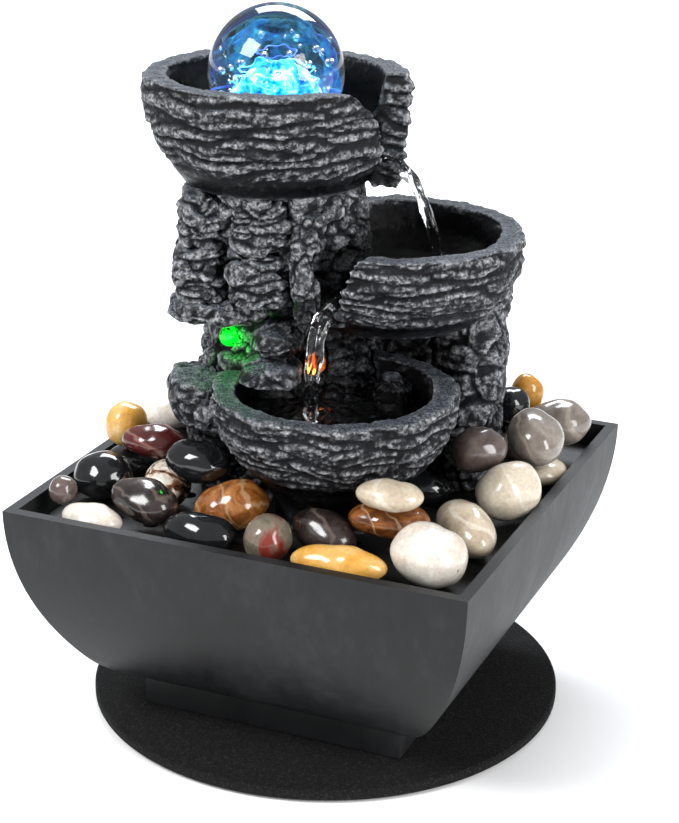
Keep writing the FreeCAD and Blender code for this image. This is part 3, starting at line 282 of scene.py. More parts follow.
def stone_material(name, stops, scale=60, warp=1.5, rough=0.16, veins=None, pits=False, clear=0.0,
                   stretch=None, spread=0.5):
    """A tumbled, polished pebble: clouds of its own colours, and a glossy skin.

    clear lets light into the stone, and spread is how far one stone's tone strays from the next one's.
    """
    s = Shader(name)
    s.set(Specular_IOR_Level=0.55, Coat_Weight=0.35, Coat_Roughness=0.06)
    if clear:
        s.set(Subsurface_Weight=clear, Subsurface_Scale=4 * MM, Subsurface_Radius=(1.0, 0.6, 0.35))
    cloud = s.noise(scale, 6, 0.62, warp, stretch)
    own = s.attribute("stone")
    factor = s.math("ADD", cloud, s.math("MULTIPLY", s.math("SUBTRACT", own, 0.5), spread))
    colour = s.ramp(factor, *stops)
    if veins:
        line = s.ramp(s.waves(scale * 0.6, 9.0, 4.0, stretch), (0.0, 1.0), (0.07, 0.0))
        colour = s.mix(s.math("MULTIPLY", line, 0.65), colour, veins)
    if pits:
        holes = s.ramp(s.cells(210), (0.0, 1.0), (0.16, 0.0))
        sparse = s.ramp(s.noise(55, 2), (0.52, 0.0), (0.6, 1.0))
        mark = s.math("MULTIPLY", holes, sparse)
        colour = s.mix(mark, colour, (0.2, 0.12, 0.06))
    fleck = s.ramp(s.noise(700, 3, 0.7), (0.3, 0.82), (0.7, 1.1))
    s.colour(s.mix(1.0, colour, fleck, "MULTIPLY"))
    s.roughness(s.ramp(s.noise(140, 4), (0.3, rough * 0.7), (0.7, rough * 1.6)))
    s.bump(s.noise(260, 4, 0.6), 0.05, 0.2 * MM)
    return s.material


def metal_material():
    s = Shader("screw_steel")
    s.set(Metallic=1.0)
    lines = s.noise(900, 3, 0.6, 0.0, (1.0, 1.0, 8.0))
    s.colour(s.ramp(lines, (0.3, (0.42, 0.42, 0.44)), (0.7, (0.66, 0.66, 0.68))))
    s.roughness(s.ramp(lines, (0.3, 0.22), (0.7, 0.4)))
    return s.material


def glass_material(name, tint, ior, ripple=0.0):
    s = Shader(name)
    s.set(Transmission_Weight=1.0, IOR=ior, Roughness=0.0, Base_Color=(*tint, 1))
    if ripple:
        s.bump(s.noise(160, 4, 0.6, 0.8), ripple, 0.8 * MM)
    return s.material


def light_material(name, colour, strength):
    """A lamp's lens: tinted plastic whose glow is broken up by dark specks."""
    s = Shader(name)
    speck = tuple(c * 0.03 for c in colour)
    s.glowing(s.ramp(s.noise(520, 4, 0.7), (0.4, speck), (0.62, colour)), strength)
    s.set(Roughness=0.25)
    return s.material


STONES = {
    "pebbles_white": dict(stops=[(0.25, (0.62, 0.52, 0.43)), (0.5, (0.8, 0.74, 0.66)),
                                 (0.75, (0.9, 0.87, 0.82))], scale=45, pits=True, clear=0.15, spread=0.25),
    "pebbles_black": dict(stops=[(0.3, (0.003, 0.0032, 0.004)), (0.7, (0.012, 0.013, 0.014))], rough=0.09,
                          spread=0.2),
    "pebbles_green": dict(stops=[(0.3, (0.035, 0.045, 0.03)), (0.5, (0.12, 0.115, 0.08)),
                                 (0.66, (0.2, 0.16, 0.12)), (0.8, (0.22, 0.03, 0.02))], scale=50),
    "pebbles_honey": dict(stops=[(0.25, (0.5, 0.2, 0.025)), (0.5, (0.72, 0.38, 0.07)),
                                 (0.8, (0.82, 0.6, 0.28))], scale=38, clear=0.35, spread=0.3),
    "pebbles_brown": dict(stops=[(0.25, (0.012, 0.009, 0.009)), (0.5, (0.05, 0.035, 0.032)),
                                 (0.75, (0.13, 0.095, 0.085))], scale=55, veins=(0.16, 0.12, 0.1)),
    "pebbles_agate": dict(stops=[(0.38, (0.02, 0.012, 0.008)), (0.45, (0.25, 0.1, 0.035)),
                                 (0.5, (0.75, 0.66, 0.55)), (0.62, (0.85, 0.8, 0.72)),
                                 (0.7, (0.3, 0.13, 0.05))], scale=85, warp=2.5, spread=0.1),
    "pebbles_orange": dict(stops=[(0.28, (0.1, 0.03, 0.008)), (0.45, (0.3, 0.1, 0.022)),
                                  (0.6, (0.46, 0.2, 0.06)), (0.78, (0.5, 0.33, 0.18))], scale=70, warp=2.5,
                           veins=(0.5, 0.32, 0.18), spread=0.25),
    "pebbles_cream": dict(stops=[(0.25, (0.36, 0.28, 0.2)), (0.5, (0.58, 0.49, 0.37)),
                                 (0.75, (0.74, 0.67, 0.56))], scale=42, clear=0.12, veins=(0.75, 0.7, 0.6),
                          spread=0.35),
    "pebbles_maroon": dict(stops=[(0.3, (0.035, 0.006, 0.006)), (0.55, (0.1, 0.016, 0.014)),
                                  (0.75, (0.2, 0.05, 0.04))], scale=40, veins=(0.3, 0.16, 0.13),
                           stretch=(0.4, 1.6, 1.6), spread=0.2),
    "pebbles_grey": dict(stops=[(0.25, (0.1, 0.075, 0.06)), (0.5, (0.2, 0.165, 0.14)),
                                (0.75, (0.34, 0.3, 0.26))], scale=36, veins=(0.4, 0.34, 0.28), spread=0.45),
}


# ---------------------------------------------------------------- mesh helpers

def new_object(name, verts, faces, material, smooth=True):
    mesh = bpy.data.meshes.new(name)
    mesh.from_pydata([tuple(v) for v in verts], [], faces)
    mesh.update()
    if smooth:
        mesh.polygons.foreach_set("use_smooth", [True] * len(mesh.polygons))
    obj = bpy.data.objects.new(name, mesh)
    bpy.context.scene.collection.objects.link(obj)
    mesh.materials.append(material)
    return obj


def points_of(mesh):
    flat = np.empty(len(mesh.vertices) * 3)
    mesh.vertices.foreach_get("co", flat)
    return flat.reshape(-1, 3)


def normals_of(mesh):
    flat = np.empty(len(mesh.vertices) * 3)
    mesh.vertices.foreach_get("normal", flat)
    return flat.reshape(-1, 3)


def store(mesh, name, values):
    layer = mesh.attributes.new(name, "FLOAT", "POINT")
    layer.data.foreach_set("value", np.asarray(values, dtype=np.float32))


def modified(obj, *modifiers):
    """Apply modifiers, given as (type, settings), in turn."""
    for kind, settings in modifiers:
        made = obj.modifiers.new(kind, kind)
        for key, value in settings.items():
            setattr(made, key, value)
    graph = bpy.context.evaluated_depsgraph_get()
    mesh = bpy.data.meshes.new_from_object(obj.evaluated_get(graph))
    obj.modifiers.clear()
    obj.data = mesh


def islands(mesh):
    """Vertex indices of each separate piece of a mesh."""
    parent = list(range(len(mesh.vertices)))

    def root(index):
        while parent[index] != index:
            parent[index] = parent[parent[index]]
            index = parent[index]
        return index

    for edge in mesh.edges:
        a, b = root(edge.vertices[0]), root(edge.vertices[1])
        if a != b:
            parent[a] = b
    groups = {}
    for index in range(len(parent)):
        groups.setdefault(root(index), []).append(index)
    return list(groups.values())


def neighbour_mean(points, edges):
    """The middle of each point's neighbours."""
    total = np.zeros_like(points)
    count = np.zeros(len(points))
    for a, b in ((0, 1), (1, 0)):
        np.add.at(total, edges[:, a], points[edges[:, b]])
        np.add.at(count, edges[:, a], 1)
    return total / np.maximum(count, 1)[:, None]


def edges_of(mesh):
    flat = np.empty(len(mesh.edges) * 2, dtype=np.int32)
    mesh.edges.foreach_get("vertices", flat)
    return flat.reshape(-1, 2)


def wander(at, octaves):
    """Soft noise at one place, about -1 to 1."""
    return noise.fractal(at, 1.0, 2.0, octaves)


def fractal(points, scale, octaves, shift):
    """Soft noise at each point; scale is a length or one length for each axis."""
    placed = points / np.asarray(scale) + shift
    return np.array([wander(Vector(p), octaves) for p in placed])


def cracks(points, scale, shift):
    """How near each point is to a border between stone cells: 1 on it, 0 away; and its cell's height."""
    placed = points / np.asarray(scale) + shift
    near = np.empty(len(points))
    step = np.empty(len(points))
    for index, p in enumerate(placed):
        distances, centres = noise.voronoi(Vector(p))
        near[index] = distances[1] - distances[0]
        step[index] = noise.cell(centres[0] * 3.7)
    return 1 - smooth(near, 0.0, 0.16), step


def smooth(values, low, high):
    """0 at low and 1 at high, with an easy start and end."""
    t = np.clip((values - low) / (high - low), 0, 1)
    return t * t * (3 - 2 * t)


def circle_turns(count):
    return [2 * math.pi * step / count for step in range(count)]


# ---------------------------------------------------------------- the tower's own axes

TURN = math.radians(23.4)
COS, SIN = math.cos(TURN), math.sin(TURN)


def tower_point(u, w, z):
    """A place in the tower's axes, in millimetres, as a point of the row in metres."""
    return Vector((u * COS - w * SIN, u * SIN + w * COS, z)) * MM


def tower_axes(points):
    """Points of the row in metres as u, w and z in millimetres."""
    x, y, z = (points / MM).T
    return x * COS + y * SIN, y * COS - x * SIN, z


BASINS = {
    "upper_basin": dict(axis=(-20, 10), rim=245.0, inner=38.5, floor=214.5),
    "middle_basin": dict(axis=(24.7, 10), rim=186.5, inner=38.5, floor=165.0),
    "lower_basin": dict(axis=(2.4, -25), rim=135.6, inner=35.5, floor=113.0),
}

# Wet places in the tower's axes: centre, then reach.
WET = ((28, -4, 205, 15), (-6, -27, 160, 15), (-6, -10, 150, 22), (0, 4, 140, 26), (10, 12, 176, 30))


def wetness(points):
    u, w, z = tower_axes(points)
    wet = np.zeros(len(points))
    for basin in BASINS.values():
        away = np.hypot(u - basin["axis"][0], w - basin["axis"][1])
        inside = 1 - smooth(away, basin["inner"] - 1.5, basin["inner"] + 2.0)
        under = 1 - smooth(z, basin["rim"] - 4.0, basin["rim"] - 0.6)
        above = smooth(z, basin["floor"] - 12.0, basin["floor"] - 5.0)
        wet = np.maximum(wet, inside * under * above)
    for cu, cw, cz, reach in WET:
        away = np.sqrt((u - cu) ** 2 + (w - cw) ** 2 + (z - cz) ** 2)
        wet = np.maximum(wet, 0.85 * (1 - smooth(away, reach * 0.6, reach)))
    return wet


# ---------------------------------------------------------------- rock sculpting

ROCK = rock_material()
AROUND_ROUNDS = 9  # how wide an area a ridge is measured against
WORN_FROM, WORN_FULL = 0.06, 0.5  # a ridge this proud of that area, in millimetres, is brushed silver


def sculpted(node, voxel, soften, shape):
    """A CAD stone remeshed finely, softened, then pushed in and out by shape(points, normals)."""
    obj = bpy.data.objects.new("rock_" + node, NODES[node].data.copy())
    bpy.context.scene.collection.objects.link(obj)
    modified(obj, ("REMESH", dict(mode="VOXEL", voxel_size=voxel * MM)),
             ("SMOOTH", dict(factor=0.5, iterations=soften)))
    mesh = obj.data
    points, normals = points_of(mesh), normals_of(mesh)
    moved = points + normals * (shape(points, normals) * MM)[:, None]
    mesh.vertices.foreach_set("co", moved.ravel())
    mesh.update()
    edges = edges_of(mesh)
    around = moved
    for _ in range(AROUND_ROUNDS):
        around = neighbour_mean(around, edges)
    raised = ((moved - around) * normals_of(mesh)).sum(1) / MM
    store(mesh, "worn", smooth(raised, WORN_FROM, WORN_FULL))
    store(mesh, "wet", wetness(moved))
    mesh.polygons.foreach_set("use_smooth", [True] * len(mesh.polygons))
    mesh.materials.clear()
    mesh.materials.append(ROCK)
    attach(obj, "tower")
    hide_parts(node)


def basin_shape(node):
    """Wavy strata round the outside, grit on the flat rim and a smoother hollow."""
    basin = BASINS[node]

    def shape(points, normals):
        u, w, z = tower_axes(points)
        away = np.hypot(u - basin["axis"][0], w - basin["axis"][1])
        mm = points / MM
        drift = fractal(mm, 34, 2, 3.1)
        laid = mm.copy()
        laid[:, 2] += 5.0 * drift
        bands = np.abs(fractal(laid, (38, 38, 4.9), 1, 11.7))
        finer = np.abs(fractal(laid, (15, 15, 2.3), 1, 5.3))
        strata = np.minimum(bands * 3.6, 1.0) ** 0.6 * 2.1 + np.minimum(finer * 3, 1.0) ** 0.7 * 0.8 - 2.3
        rough = fractal(mm, 4.2, 3, 2.2) * 0.5 + fractal(mm, 1.5, 2, 7.7) * 0.3
        lumps = fractal(mm, 19, 2, 8.8) * 1.1
        flat_top = smooth(normals[:, 2], 0.5, 0.85) * smooth(z, basin["rim"] - 5, basin["rim"] - 2)
        hollow = (1 - smooth(away, basin["inner"], basin["inner"] + 3)) * (z < basin["rim"] - 0.5)
        outside = (1 - flat_top) * (1 - hollow)
        return (outside * (strata + lumps) + rough * (1 - 0.5 * hollow)
                + flat_top * (fractal(mm, 9, 2, 1.3) * 0.5 - 0.3) + hollow * lumps * 0.4)

    return shape


def stone_shape(chip, depth, lump, band, proud, shift=0.0):
    """Broken stone: flats and cracks at one size, lumps at another and a little layering.

    chip is the size of the broken flats, depth how far they step, lump and band the height of lumps and
    layers, and proud how far the stone may stand out before it is held back. shift makes each rock its own.
    """

    def shape(points, _normals):
        mm = points / MM
        warped = mm + np.stack([fractal(mm, 12, 2, start + shift) for start in (31, 57, 83)], 1) * 3.0
        crack, step = cracks(warped, chip, shift)
        layers = np.abs(fractal(warped, (24, 24, 4.2), 1, 4.4 + shift))
        made = (step - 0.5) * depth - crack * depth * 0.9
        made += fractal(mm, 17, 3, 6.1 + shift) * lump
        made += (np.minimum(layers * 3, 1.0) ** 0.6 - 1.0) * band * 1.6
        made += fractal(mm, 3.6, 3, 9.2 + shift) * 0.35 + fractal(mm, 1.4, 2, 1.9 + shift) * 0.22
        made -= np.percentile(made, 45)
        return np.where(made > proud, proud + (made - proud) * 0.25, made)

    return shape


for name in BASINS:
    sculpted(name, 0.85, 3, basin_shape(name))

for name, voxel, soften, shape in (
    ("tower_core", 1.0, 8, stone_shape((13, 13, 11), 2.0, 2.2, 1.0, 2.5)),
    ("rear_column", 0.95, 8, stone_shape((12, 12, 13), 2.2, 2.0, 0.9, 1.8, 4.0)),
    ("right_column", 0.9, 8, stone_shape((12, 12, 14), 1.8, 2.0, 0.8, 1.6, 9.0)),
    ("left_base_rock", 0.9, 6, stone_shape((11, 11, 9), 1.4, 1.4, 0.8, 0.6, 14.0)),
    ("ledge_rock", 0.8, 5, stone_shape((12, 12, 9), 1.1, 1.2, 0.8, 0.8, 19.0)),
    ("overhang_slab", 0.8, 6, stone_shape((11, 11, 9), 1.1, 1.2, 0.8, 1.0, 23.0)),
    ("slab_lower_left", 0.8, 8, stone_shape((17, 17, 7), 1.5, 1.0, 1.3, 1.3, 27.0)),
    ("slab_lower_right", 0.8, 8, stone_shape((17, 17, 7), 1.5, 1.0, 1.3, 1.3, 31.0)),
    ("slab_upper_left", 0.8, 8, stone_shape((17, 17, 7), 1.5, 1.0, 1.3, 1.3, 37.0)),
    ("slab_upper_right", 0.8, 8, stone_shape((17, 17, 7), 1.5, 1.0, 1.3, 1.3, 41.0)),
    ("wedge_rock", 0.7, 5, stone_shape((8, 8, 11), 1.0, 1.0, 0.5, 1.0, 45.0)),
    ("boulder_upper", 0.7, 4, stone_shape((9, 9, 9), 0.7, 0.9, 0.3, 0.8, 49.0)),
    ("boulder_lower", 0.7, 4, stone_shape((9, 9, 9), 0.7, 0.9, 0.3, 0.8, 53.0)),
    ("pool_boulder", 0.6, 4, stone_shape((8, 8, 8), 0.6, 0.7, 0.2, 0.6, 57.0)),
):
    sculpted(name, voxel, soften, shape)


# ---------------------------------------------------------------- pebbles

FROM_OUTSIDE = 100 * MM  # where the rays that find a pebble's skin start
PEBBLE_WORN, PEBBLE_DENT = 0.04, 0.11  # parts of its radius by which a pebble is worn down and dented
FEW_PEBBLES = 6  # a colour with fewer stones than this can afford the finer mesh


def stone_skin(points, faces, subdivisions, seed):
    """An evenly meshed pebble shrunk on to a CAD pebble, then worn a little uneven."""
    tree = BVHTree.FromPolygons([tuple(p) for p in points], faces)
    centre = Vector(points.mean(0))
    ball = bpy.data.meshes.new("ball")
    made = bmesh.new()
    bmesh.ops.create_icosphere(made, subdivisions=subdivisions, radius=1.0)
    made.to_mesh(ball)
    made.free()
    directions = points_of(ball)
    rounds = [tuple(face.vertices) for face in ball.polygons]
    bpy.data.meshes.remove(ball)
    spread = points - points.mean(0)
    values, axes = np.linalg.eigh(spread.T @ spread)
    halves = np.sqrt(values / values.max())
    aimed = (directions * halves) @ axes.T
    out = []
    for direction in aimed:
        aim = Vector(direction).normalized()
        hit = tree.ray_cast(centre + aim * FROM_OUTSIDE, -aim)[0]
        reach = (hit - centre).length if hit else 0.0
        dent = wander(aim * 0.85 + Vector((seed * 7.3, seed * 3.1, 0)), 2)
        out.append(centre + aim * reach * (1 - PEBBLE_WORN + PEBBLE_DENT * max(min(dent, 0.5), -1.0)))
    return out, rounds


def welded(source):
    """A copy of a mesh whose doubled corners are joined."""
    made = bmesh.new()
    made.from_mesh(source)
    bmesh.ops.remove_doubles(made, verts=made.verts, dist=0.002 * MM)
    mesh = bpy.data.meshes.new(source.name + "_welded")
    made.to_mesh(mesh)
    made.free()
    return mesh


def pebbles(node):
    """All the pebbles of one CAD node, each with a tone of its own."""
    mesh = welded(NODES[node].data)
    points = points_of(mesh)
    verts, faces, tones = [], [], []
    order = sorted(islands(mesh), key=lambda group: tuple(points[group].mean(0)))
    for number, group in enumerate(order):
        where = {old: new for new, old in enumerate(group)}
        patches = [[where[v] for v in face.vertices] for face in mesh.polygons if face.vertices[0] in where]
        finer = 5 if len(order) < FEW_PEBBLES else 4
        skin, rounds = stone_skin(points[group], patches, finer, number + len(node))
        tone = random.Random(f"{node}{number}").random()
        start = len(verts)
        verts += skin
        faces += [tuple(start + v for v in face) for face in rounds]
        tones += [tone] * len(skin)
    obj = new_object("stones_" + node.split("_")[1], verts, faces, stone_material(node, **STONES[node]))
    store(obj.data, "stone", tones)
    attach(obj, "bowl_unit")
    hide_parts(node)
    bpy.data.meshes.remove(mesh)


for name in STONES:
    pebbles(name)


# ---------------------------------------------------------------- bowl, disc and the fittings

EDGE_ROUND = 0.7 * MM
SHARP = math.radians(25)


def eased(node, name, material, body):
    """A CAD node with its sharp edges rounded over."""
    obj = bpy.data.objects.new(name, welded(NODES[node].data))
    bpy.context.scene.collection.objects.link(obj)
    modified(obj, ("BEVEL", dict(width=EDGE_ROUND, segments=3, limit_method="ANGLE", angle_limit=SHARP,
                                 harden_normals=False)))
    obj.data.materials.clear()
    obj.data.materials.append(material)
    obj.data.polygons.foreach_set("use_smooth", [True] * len(obj.data.polygons))
    modified(obj, ("WEIGHTED_NORMAL", dict(keep_sharp=False)))
    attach(obj, body)
    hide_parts(node)


BOWL = bowl_material()
DISC = disc_material()
TRAY = moulded("tray_plastic", (0.006, 0.006, 0.0065), 0.5, 900, 0.5)
eased("bowl", "bowl_shell", BOWL, "bowl_unit")
eased("base_disc", "disc", DISC, "base")

FINISHES = {
    "foot_plate": BOWL,
    "pebble_tray": TRAY,
    "disc_feet": moulded("foot_rubber", (0.02, 0.02, 0.021), 0.75, 800, 0.3),
    "glide_ring": moulded("glide_plastic", (0.7, 0.69, 0.66), 0.4),
    "pump_housing": moulded("pump_plastic", (0.012, 0.012, 0.013), 0.42),
    "flow_regulator": moulded("dial_plastic", (0.05, 0.05, 0.055), 0.4),
    "impeller": moulded("impeller_plastic", (0.55, 0.55, 0.53), 0.38),
    "impeller_shaft": moulded("shaft_ceramic", (0.72, 0.7, 0.66), 0.25, 2200, 0.05, 0.08),
    "cable_gland": moulded("gland_rubber", (0.012, 0.012, 0.012), 0.65, 900, 0.2),
    "riser_tube": moulded("tube_vinyl", (0.45, 0.48, 0.48), 0.2, 900, 0.05, 0.1),
    "ball_seat": moulded("seat_plastic", (0.12, 0.13, 0.14), 0.25, 1500, 0.05, 0.15),
    "niche_lamp": moulded("lamp_plastic", (0.02, 0.02, 0.022), 0.4),
    "foot_plate_screws": metal_material(),
}
ALIKE = {
    "pump_chamber": "pump_housing", "pump_nozzle": "pump_housing", "intake_cover": "pump_housing",
    "suction_cups": "cable_gland", "cascade_lamp": "niche_lamp", "pivot_screw": "foot_plate_screws",
}
LIGHTS = {
    "ball_lights": light_material("blue_light", (0.05, 0.45, 1.0), 30.0),
    "niche_lens": light_material("green_light", (0.0, 1.0, 0.04), 0.7),
    "cascade_lens": light_material("amber_light", (1.0, 0.22, 0.01), 0.15),
}


def finished(node, material):
    mesh = NODES[node].data
    mesh.materials.clear()
    mesh.materials.append(material)


for node, material in {**FINISHES, **LIGHTS}.items():
    finished(node, material)
for node, other in ALIKE.items():
    finished(node, FINISHES[other])


# ---------------------------------------------------------------- the glass ball

def sphere_mesh(centre, radius, across, down):
    """Latitude and longitude points of a ball."""
    verts, faces = [centre + Vector((0, 0, radius))], []
    for row in range(1, down):
        tilt = math.pi * row / down
        for turn in circle_turns(across):
            verts.append(centre + radius * Vector((math.sin(tilt) * math.cos(turn),
                                                   math.sin(tilt) * math.sin(turn), math.cos(tilt))))
    verts.append(centre - Vector((0, 0, radius)))
    for column in range(across):
        after = (column + 1) % across
        faces.append((0, 1 + column, 1 + after))
        for row in range(down - 2):
            a = 1 + row * across
            faces.append((a + column, a + across + column, a + across + after, a + after))
        last = 1 + (down - 2) * across
        faces.append((last + column, len(verts) - 1, last + after))
    return verts, faces


low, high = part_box("glass_ball")
BALL_AT, BALL_R = (low + high) / 2, (high.z - low.z) / 2
GLASS = glass_material("ball_glass", (0.97, 0.99, 1.0), 1.5)
verts, faces = sphere_mesh(BALL_AT, BALL_R, 128, 64)
glass = new_object("crystal_ball", verts, faces, GLASS)
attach(glass, "ball")
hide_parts("glass_ball")

# Air bubbles shut in the lower two thirds of the glass: their faces look inwards, out of the glass.
BUBBLES = 110
seed = random.Random(5)
verts, faces = [], []
for _ in range(BUBBLES):
    turn, reach = seed.uniform(0, 2 * math.pi), BALL_R * 0.62 * math.sqrt(seed.random())
    height = BALL_R * seed.uniform(-0.7, 0.28)
    centre = BALL_AT + Vector((reach * math.cos(turn), reach * math.sin(turn), height))
    if (centre - BALL_AT).length < BALL_R * 0.9:
        some, rounds = sphere_mesh(centre, seed.uniform(0.25, 0.95) * MM, 16, 8)
        faces += [tuple(len(verts) + v for v in reversed(face)) for face in rounds]
        verts += some
bubbles = new_object("ball_bubbles", verts, faces, GLASS)
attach(bubbles, "ball")


def glow_rings(name, rings, material):
    """Thin wavering rings of painted light in the ball: (height, reach, thickness) as parts of its radius.
    """
    across, round_count = 96, 8
    verts, faces = [], []
    for number, (height, reach, thick) in enumerate(rings):
        start = len(verts)
        for turn in circle_turns(across):
            x, y = math.cos(turn), math.sin(turn)
            wave = noise.noise(Vector((x * 2.2, y * 2.2, number * 3.7)))
            patchy = abs(noise.noise(Vector((x * 3, y * 3, number * 5.1 + 2))))
            out = BALL_R * reach * (1 + 0.1 * wave)
            swell = thick * BALL_R * (0.35 + 0.9 * patchy)
            for angle in circle_turns(round_count):
                flat = out + swell * math.cos(angle)
                rise = BALL_R * (height + 0.05 * wave) + 0.6 * swell * math.sin(angle)
                verts.append(BALL_AT + Vector((flat * x, flat * y, rise)))
        for column in range(across):
            after = (column + 1) % across
            for step in range(round_count):
                follower = (step + 1) % round_count
                a, b = start + column * round_count, start + after * round_count
                faces.append((a + step, b + step, b + follower, a + follower))
    obj = new_object(name, verts, faces, material)
    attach(obj, "ball")


def ring_light(name, dim, bright, strength):
    s = Shader(name)
    s.glowing(s.ramp(s.noise(190, 3, 0.6), (0.36, dim), (0.62, bright)), strength)
    s.set(Roughness=0.3)
    return s.material


# Painted light: these rings and clouds glow in place of the blue lamps' light seen through the glass.
glow_rings("ball_glow_cyan", [(-0.1, 0.42, 0.03), (0.02, 0.37, 0.022), (-0.3, 0.52, 0.03)],
           ring_light("ring_cyan", (0.0, 0.25, 0.75), (0.25, 0.95, 1.0), 2.0))
glow_rings("ball_glow_blue", [(-0.22, 0.68, 0.03), (0.2, 0.2, 0.02)],
           ring_light("ring_blue", (0.02, 0.02, 0.25), (0.1, 0.25, 1.0), 1.2))


def lit_cloud(name, height, reach, uneven, stops, strength, alpha=None):
    """A lumpy cloud of painted light inside the ball; its height and reach are parts of the ball's radius.
    """
    centre = BALL_AT + Vector((0, 0, BALL_R * height))
    verts, faces = sphere_mesh(centre, BALL_R * reach, 96, 48)
    lumpy = []
    for vert in verts:
        aim = (vert - centre).normalized()
        swell = wander(aim * 2.6 + Vector((reach * 9, 0, 4)), 4)
        lumpy.append(centre + (vert - centre) * (1 + uneven * max(min(swell, 1.0), -1.0)))
    s = Shader(name)
    s.glowing(s.ramp(s.noise(240, 6, 0.68, 0.9), *stops), strength)
    s.set(Roughness=0.4, Specular_IOR_Level=0.1)
    if alpha:
        s.link(s.ramp(s.noise(130, 5, 0.6, 0.8), *alpha), s.surface.inputs["Alpha"])
    obj = new_object(name, lumpy, faces, s.material)
    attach(obj, "ball")


lit_cloud("ball_core_light", -0.3, 0.4, 0.16,
          [(0.36, (0.0, 0.05, 0.3)), (0.46, (0.0, 0.4, 0.75)), (0.54, (0.1, 0.9, 0.95)),
           (0.62, (1, 1, 1))], 1.15)
lit_cloud("ball_painted_glow", -0.12, 0.62, 0.1,
          [(0.35, (0.03, 0.03, 0.45)), (0.5, (0.0, 0.2, 0.55)), (0.65, (0.05, 0.5, 0.8))], 0.75,
          [(0.44, 0.02), (0.66, 0.62)])


# ---------------------------------------------------------------- water

WATER = glass_material("water", (0.96, 0.98, 1.0), 1.33, 0.12)


POOL_DEPTH = 2.4
RIM_CLIMB, CLIMB_REACH = 0.7, 1.2  # how the water creeps up where it meets the rock


def pool(name, basin, level, reach, ripple, falls):
    """Still water in a basin: a rippled top, with rings where a stream lands, and an underside.

    Lengths are in millimetres, and falls gives (u, w, height of its rings) of each stream.
    """
    cu, cw = BASINS[basin]["axis"]
    rings, across = 46, 120
    verts, faces = [], []
    for side in (1, -1):
        for ring in range(rings + 1):
            out = reach * ring / rings
            for turn in circle_turns(across):
                u, w = cu + out * math.cos(turn), cw + out * math.sin(turn)
                height = level - POOL_DEPTH
                if side > 0:
                    height = level + ripple * wander(Vector((u / 7, w / 7, 0.4)), 3)
                    for fu, fw, strength in falls:
                        away = math.hypot(u - fu, w - fw)
                        height += strength * math.cos(away * 1.25) * math.exp(-away / 9)
                    height += RIM_CLIMB * math.exp(-(reach - out) / CLIMB_REACH)
                verts.append(tower_point(u, w, height))
    layer = (rings + 1) * across
    for side in (0, 1):
        for ring in range(rings):
            for column in range(across):
                after = (column + 1) % across
                a = side * layer + ring * across
                quad = (a + column, a + across + column, a + across + after, a + after)
                faces.append(quad if side == 0 else tuple(reversed(quad)))
    edge = rings * across
    for column in range(across):
        after = (column + 1) % across
        faces.append((edge + column, layer + edge + column, layer + edge + after, edge + after))
    obj = new_object(name, verts, faces, WATER)
    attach(obj, "tower")


def fall(name, path, widths, thickness, twist, seed):
    """A twisted ribbon of falling water along a smooth path through tower places, in millimetres."""
    steps, across = 150, 28
    places = [Vector(p) for p in path]

    def along(t):
        span = t * (len(places) - 1)
        index = min(int(span), len(places) - 2)
        f = span - index
        before = places[max(index - 1, 0)]
        a, b = places[index], places[index + 1]
        after = places[min(index + 2, len(places) - 1)]
        return 0.5 * ((2 * a) + (b - before) * f + (2 * before - 5 * a + 4 * b - after) * f * f
                      + (3 * a - before - 3 * b + after) * f ** 3)

    verts, faces = [], []
    for step in range(steps + 1):
        t = step / steps
        centre = along(t)
        heading = (along(min(t + 0.01, 1.0)) - along(max(t - 0.01, 0.0))).normalized()
        across_way = heading.cross(Vector((0, 1, 0.2))).normalized()
        through = heading.cross(across_way).normalized()
        width = np.interp(t, np.linspace(0, 1, len(widths)), widths) / 2
        turn = twist * t + 0.5 * noise.noise(Vector((t * 3, seed, 0)))
        for angle in circle_turns(across):
            x, y = width * math.cos(angle), thickness / 2 * math.sin(angle)
            # ropes of water: ridges that run down the ribbon and wander
            ridge = wander(Vector((math.cos(angle) * 1.9, math.sin(angle) * 1.9 + seed, t * 3.2)), 3)
            swell = 1 + 0.55 * ridge + 0.12 * math.sin(t * 38 + seed + math.cos(angle) * 2)
            x, y = x * (0.85 + 0.25 * (swell - 1)), y * swell
            rx = x * math.cos(turn) - y * math.sin(turn)
            ry = x * math.sin(turn) + y * math.cos(turn)
            at = centre + across_way * rx + through * ry
            verts.append(tower_point(at.x, at.y, at.z))
    for step in range(steps):
        for column in range(across):
            after = (column + 1) % across
            a = step * across
            faces.append((a + column, a + after, a + across + after, a + across + column))
    faces.append(tuple(reversed(range(across))))
    faces.append(tuple(range(steps * across, (steps + 1) * across)))
    obj = new_object(name, verts, faces, WATER)
    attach(obj, "tower")


pool("water_middle_pool", "middle_basin", 170.0, 36.0, 0.5, [(42, 0, 0.7)])
pool("water_lower_pool", "lower_basin", 126.0, 34.6, 0.55, [(-6, -31, 0.9)])
fall("water_upper_fall", [(19, 1, 212.5), (25, 0.5, 211.2), (30, 0, 207), (34.5, 0, 198), (38.5, 0, 186),
                          (42, 0, 169.5)], [9, 8, 6.5, 5.5, 5.2, 7], 3.6, 1.6, 3.0)
fall("water_lower_fall", [(6, -17, 166), (0.5, -24, 164.8), (-3.6, -28.5, 159), (-5.4, -30.6, 148),
                          (-6.2, -31.2, 136), (-6.5, -31.5, 125.5)], [10, 9, 7.5, 8, 7, 6.5], 4.4, 1.3, 9.0)


# ---------------------------------------------------------------- camera, floor and lights

CAMERA_AT = Vector((287.51 * MM, -664.93 * MM, 392.76 * MM))
RIGHT = Vector((0.9186052, 0.39504027, 0.01037626))
UP = Vector((-0.14984129, 0.32389606, 0.93415145))
AHEAD = Vector((-0.36566661, 0.85967117, -0.35672595))

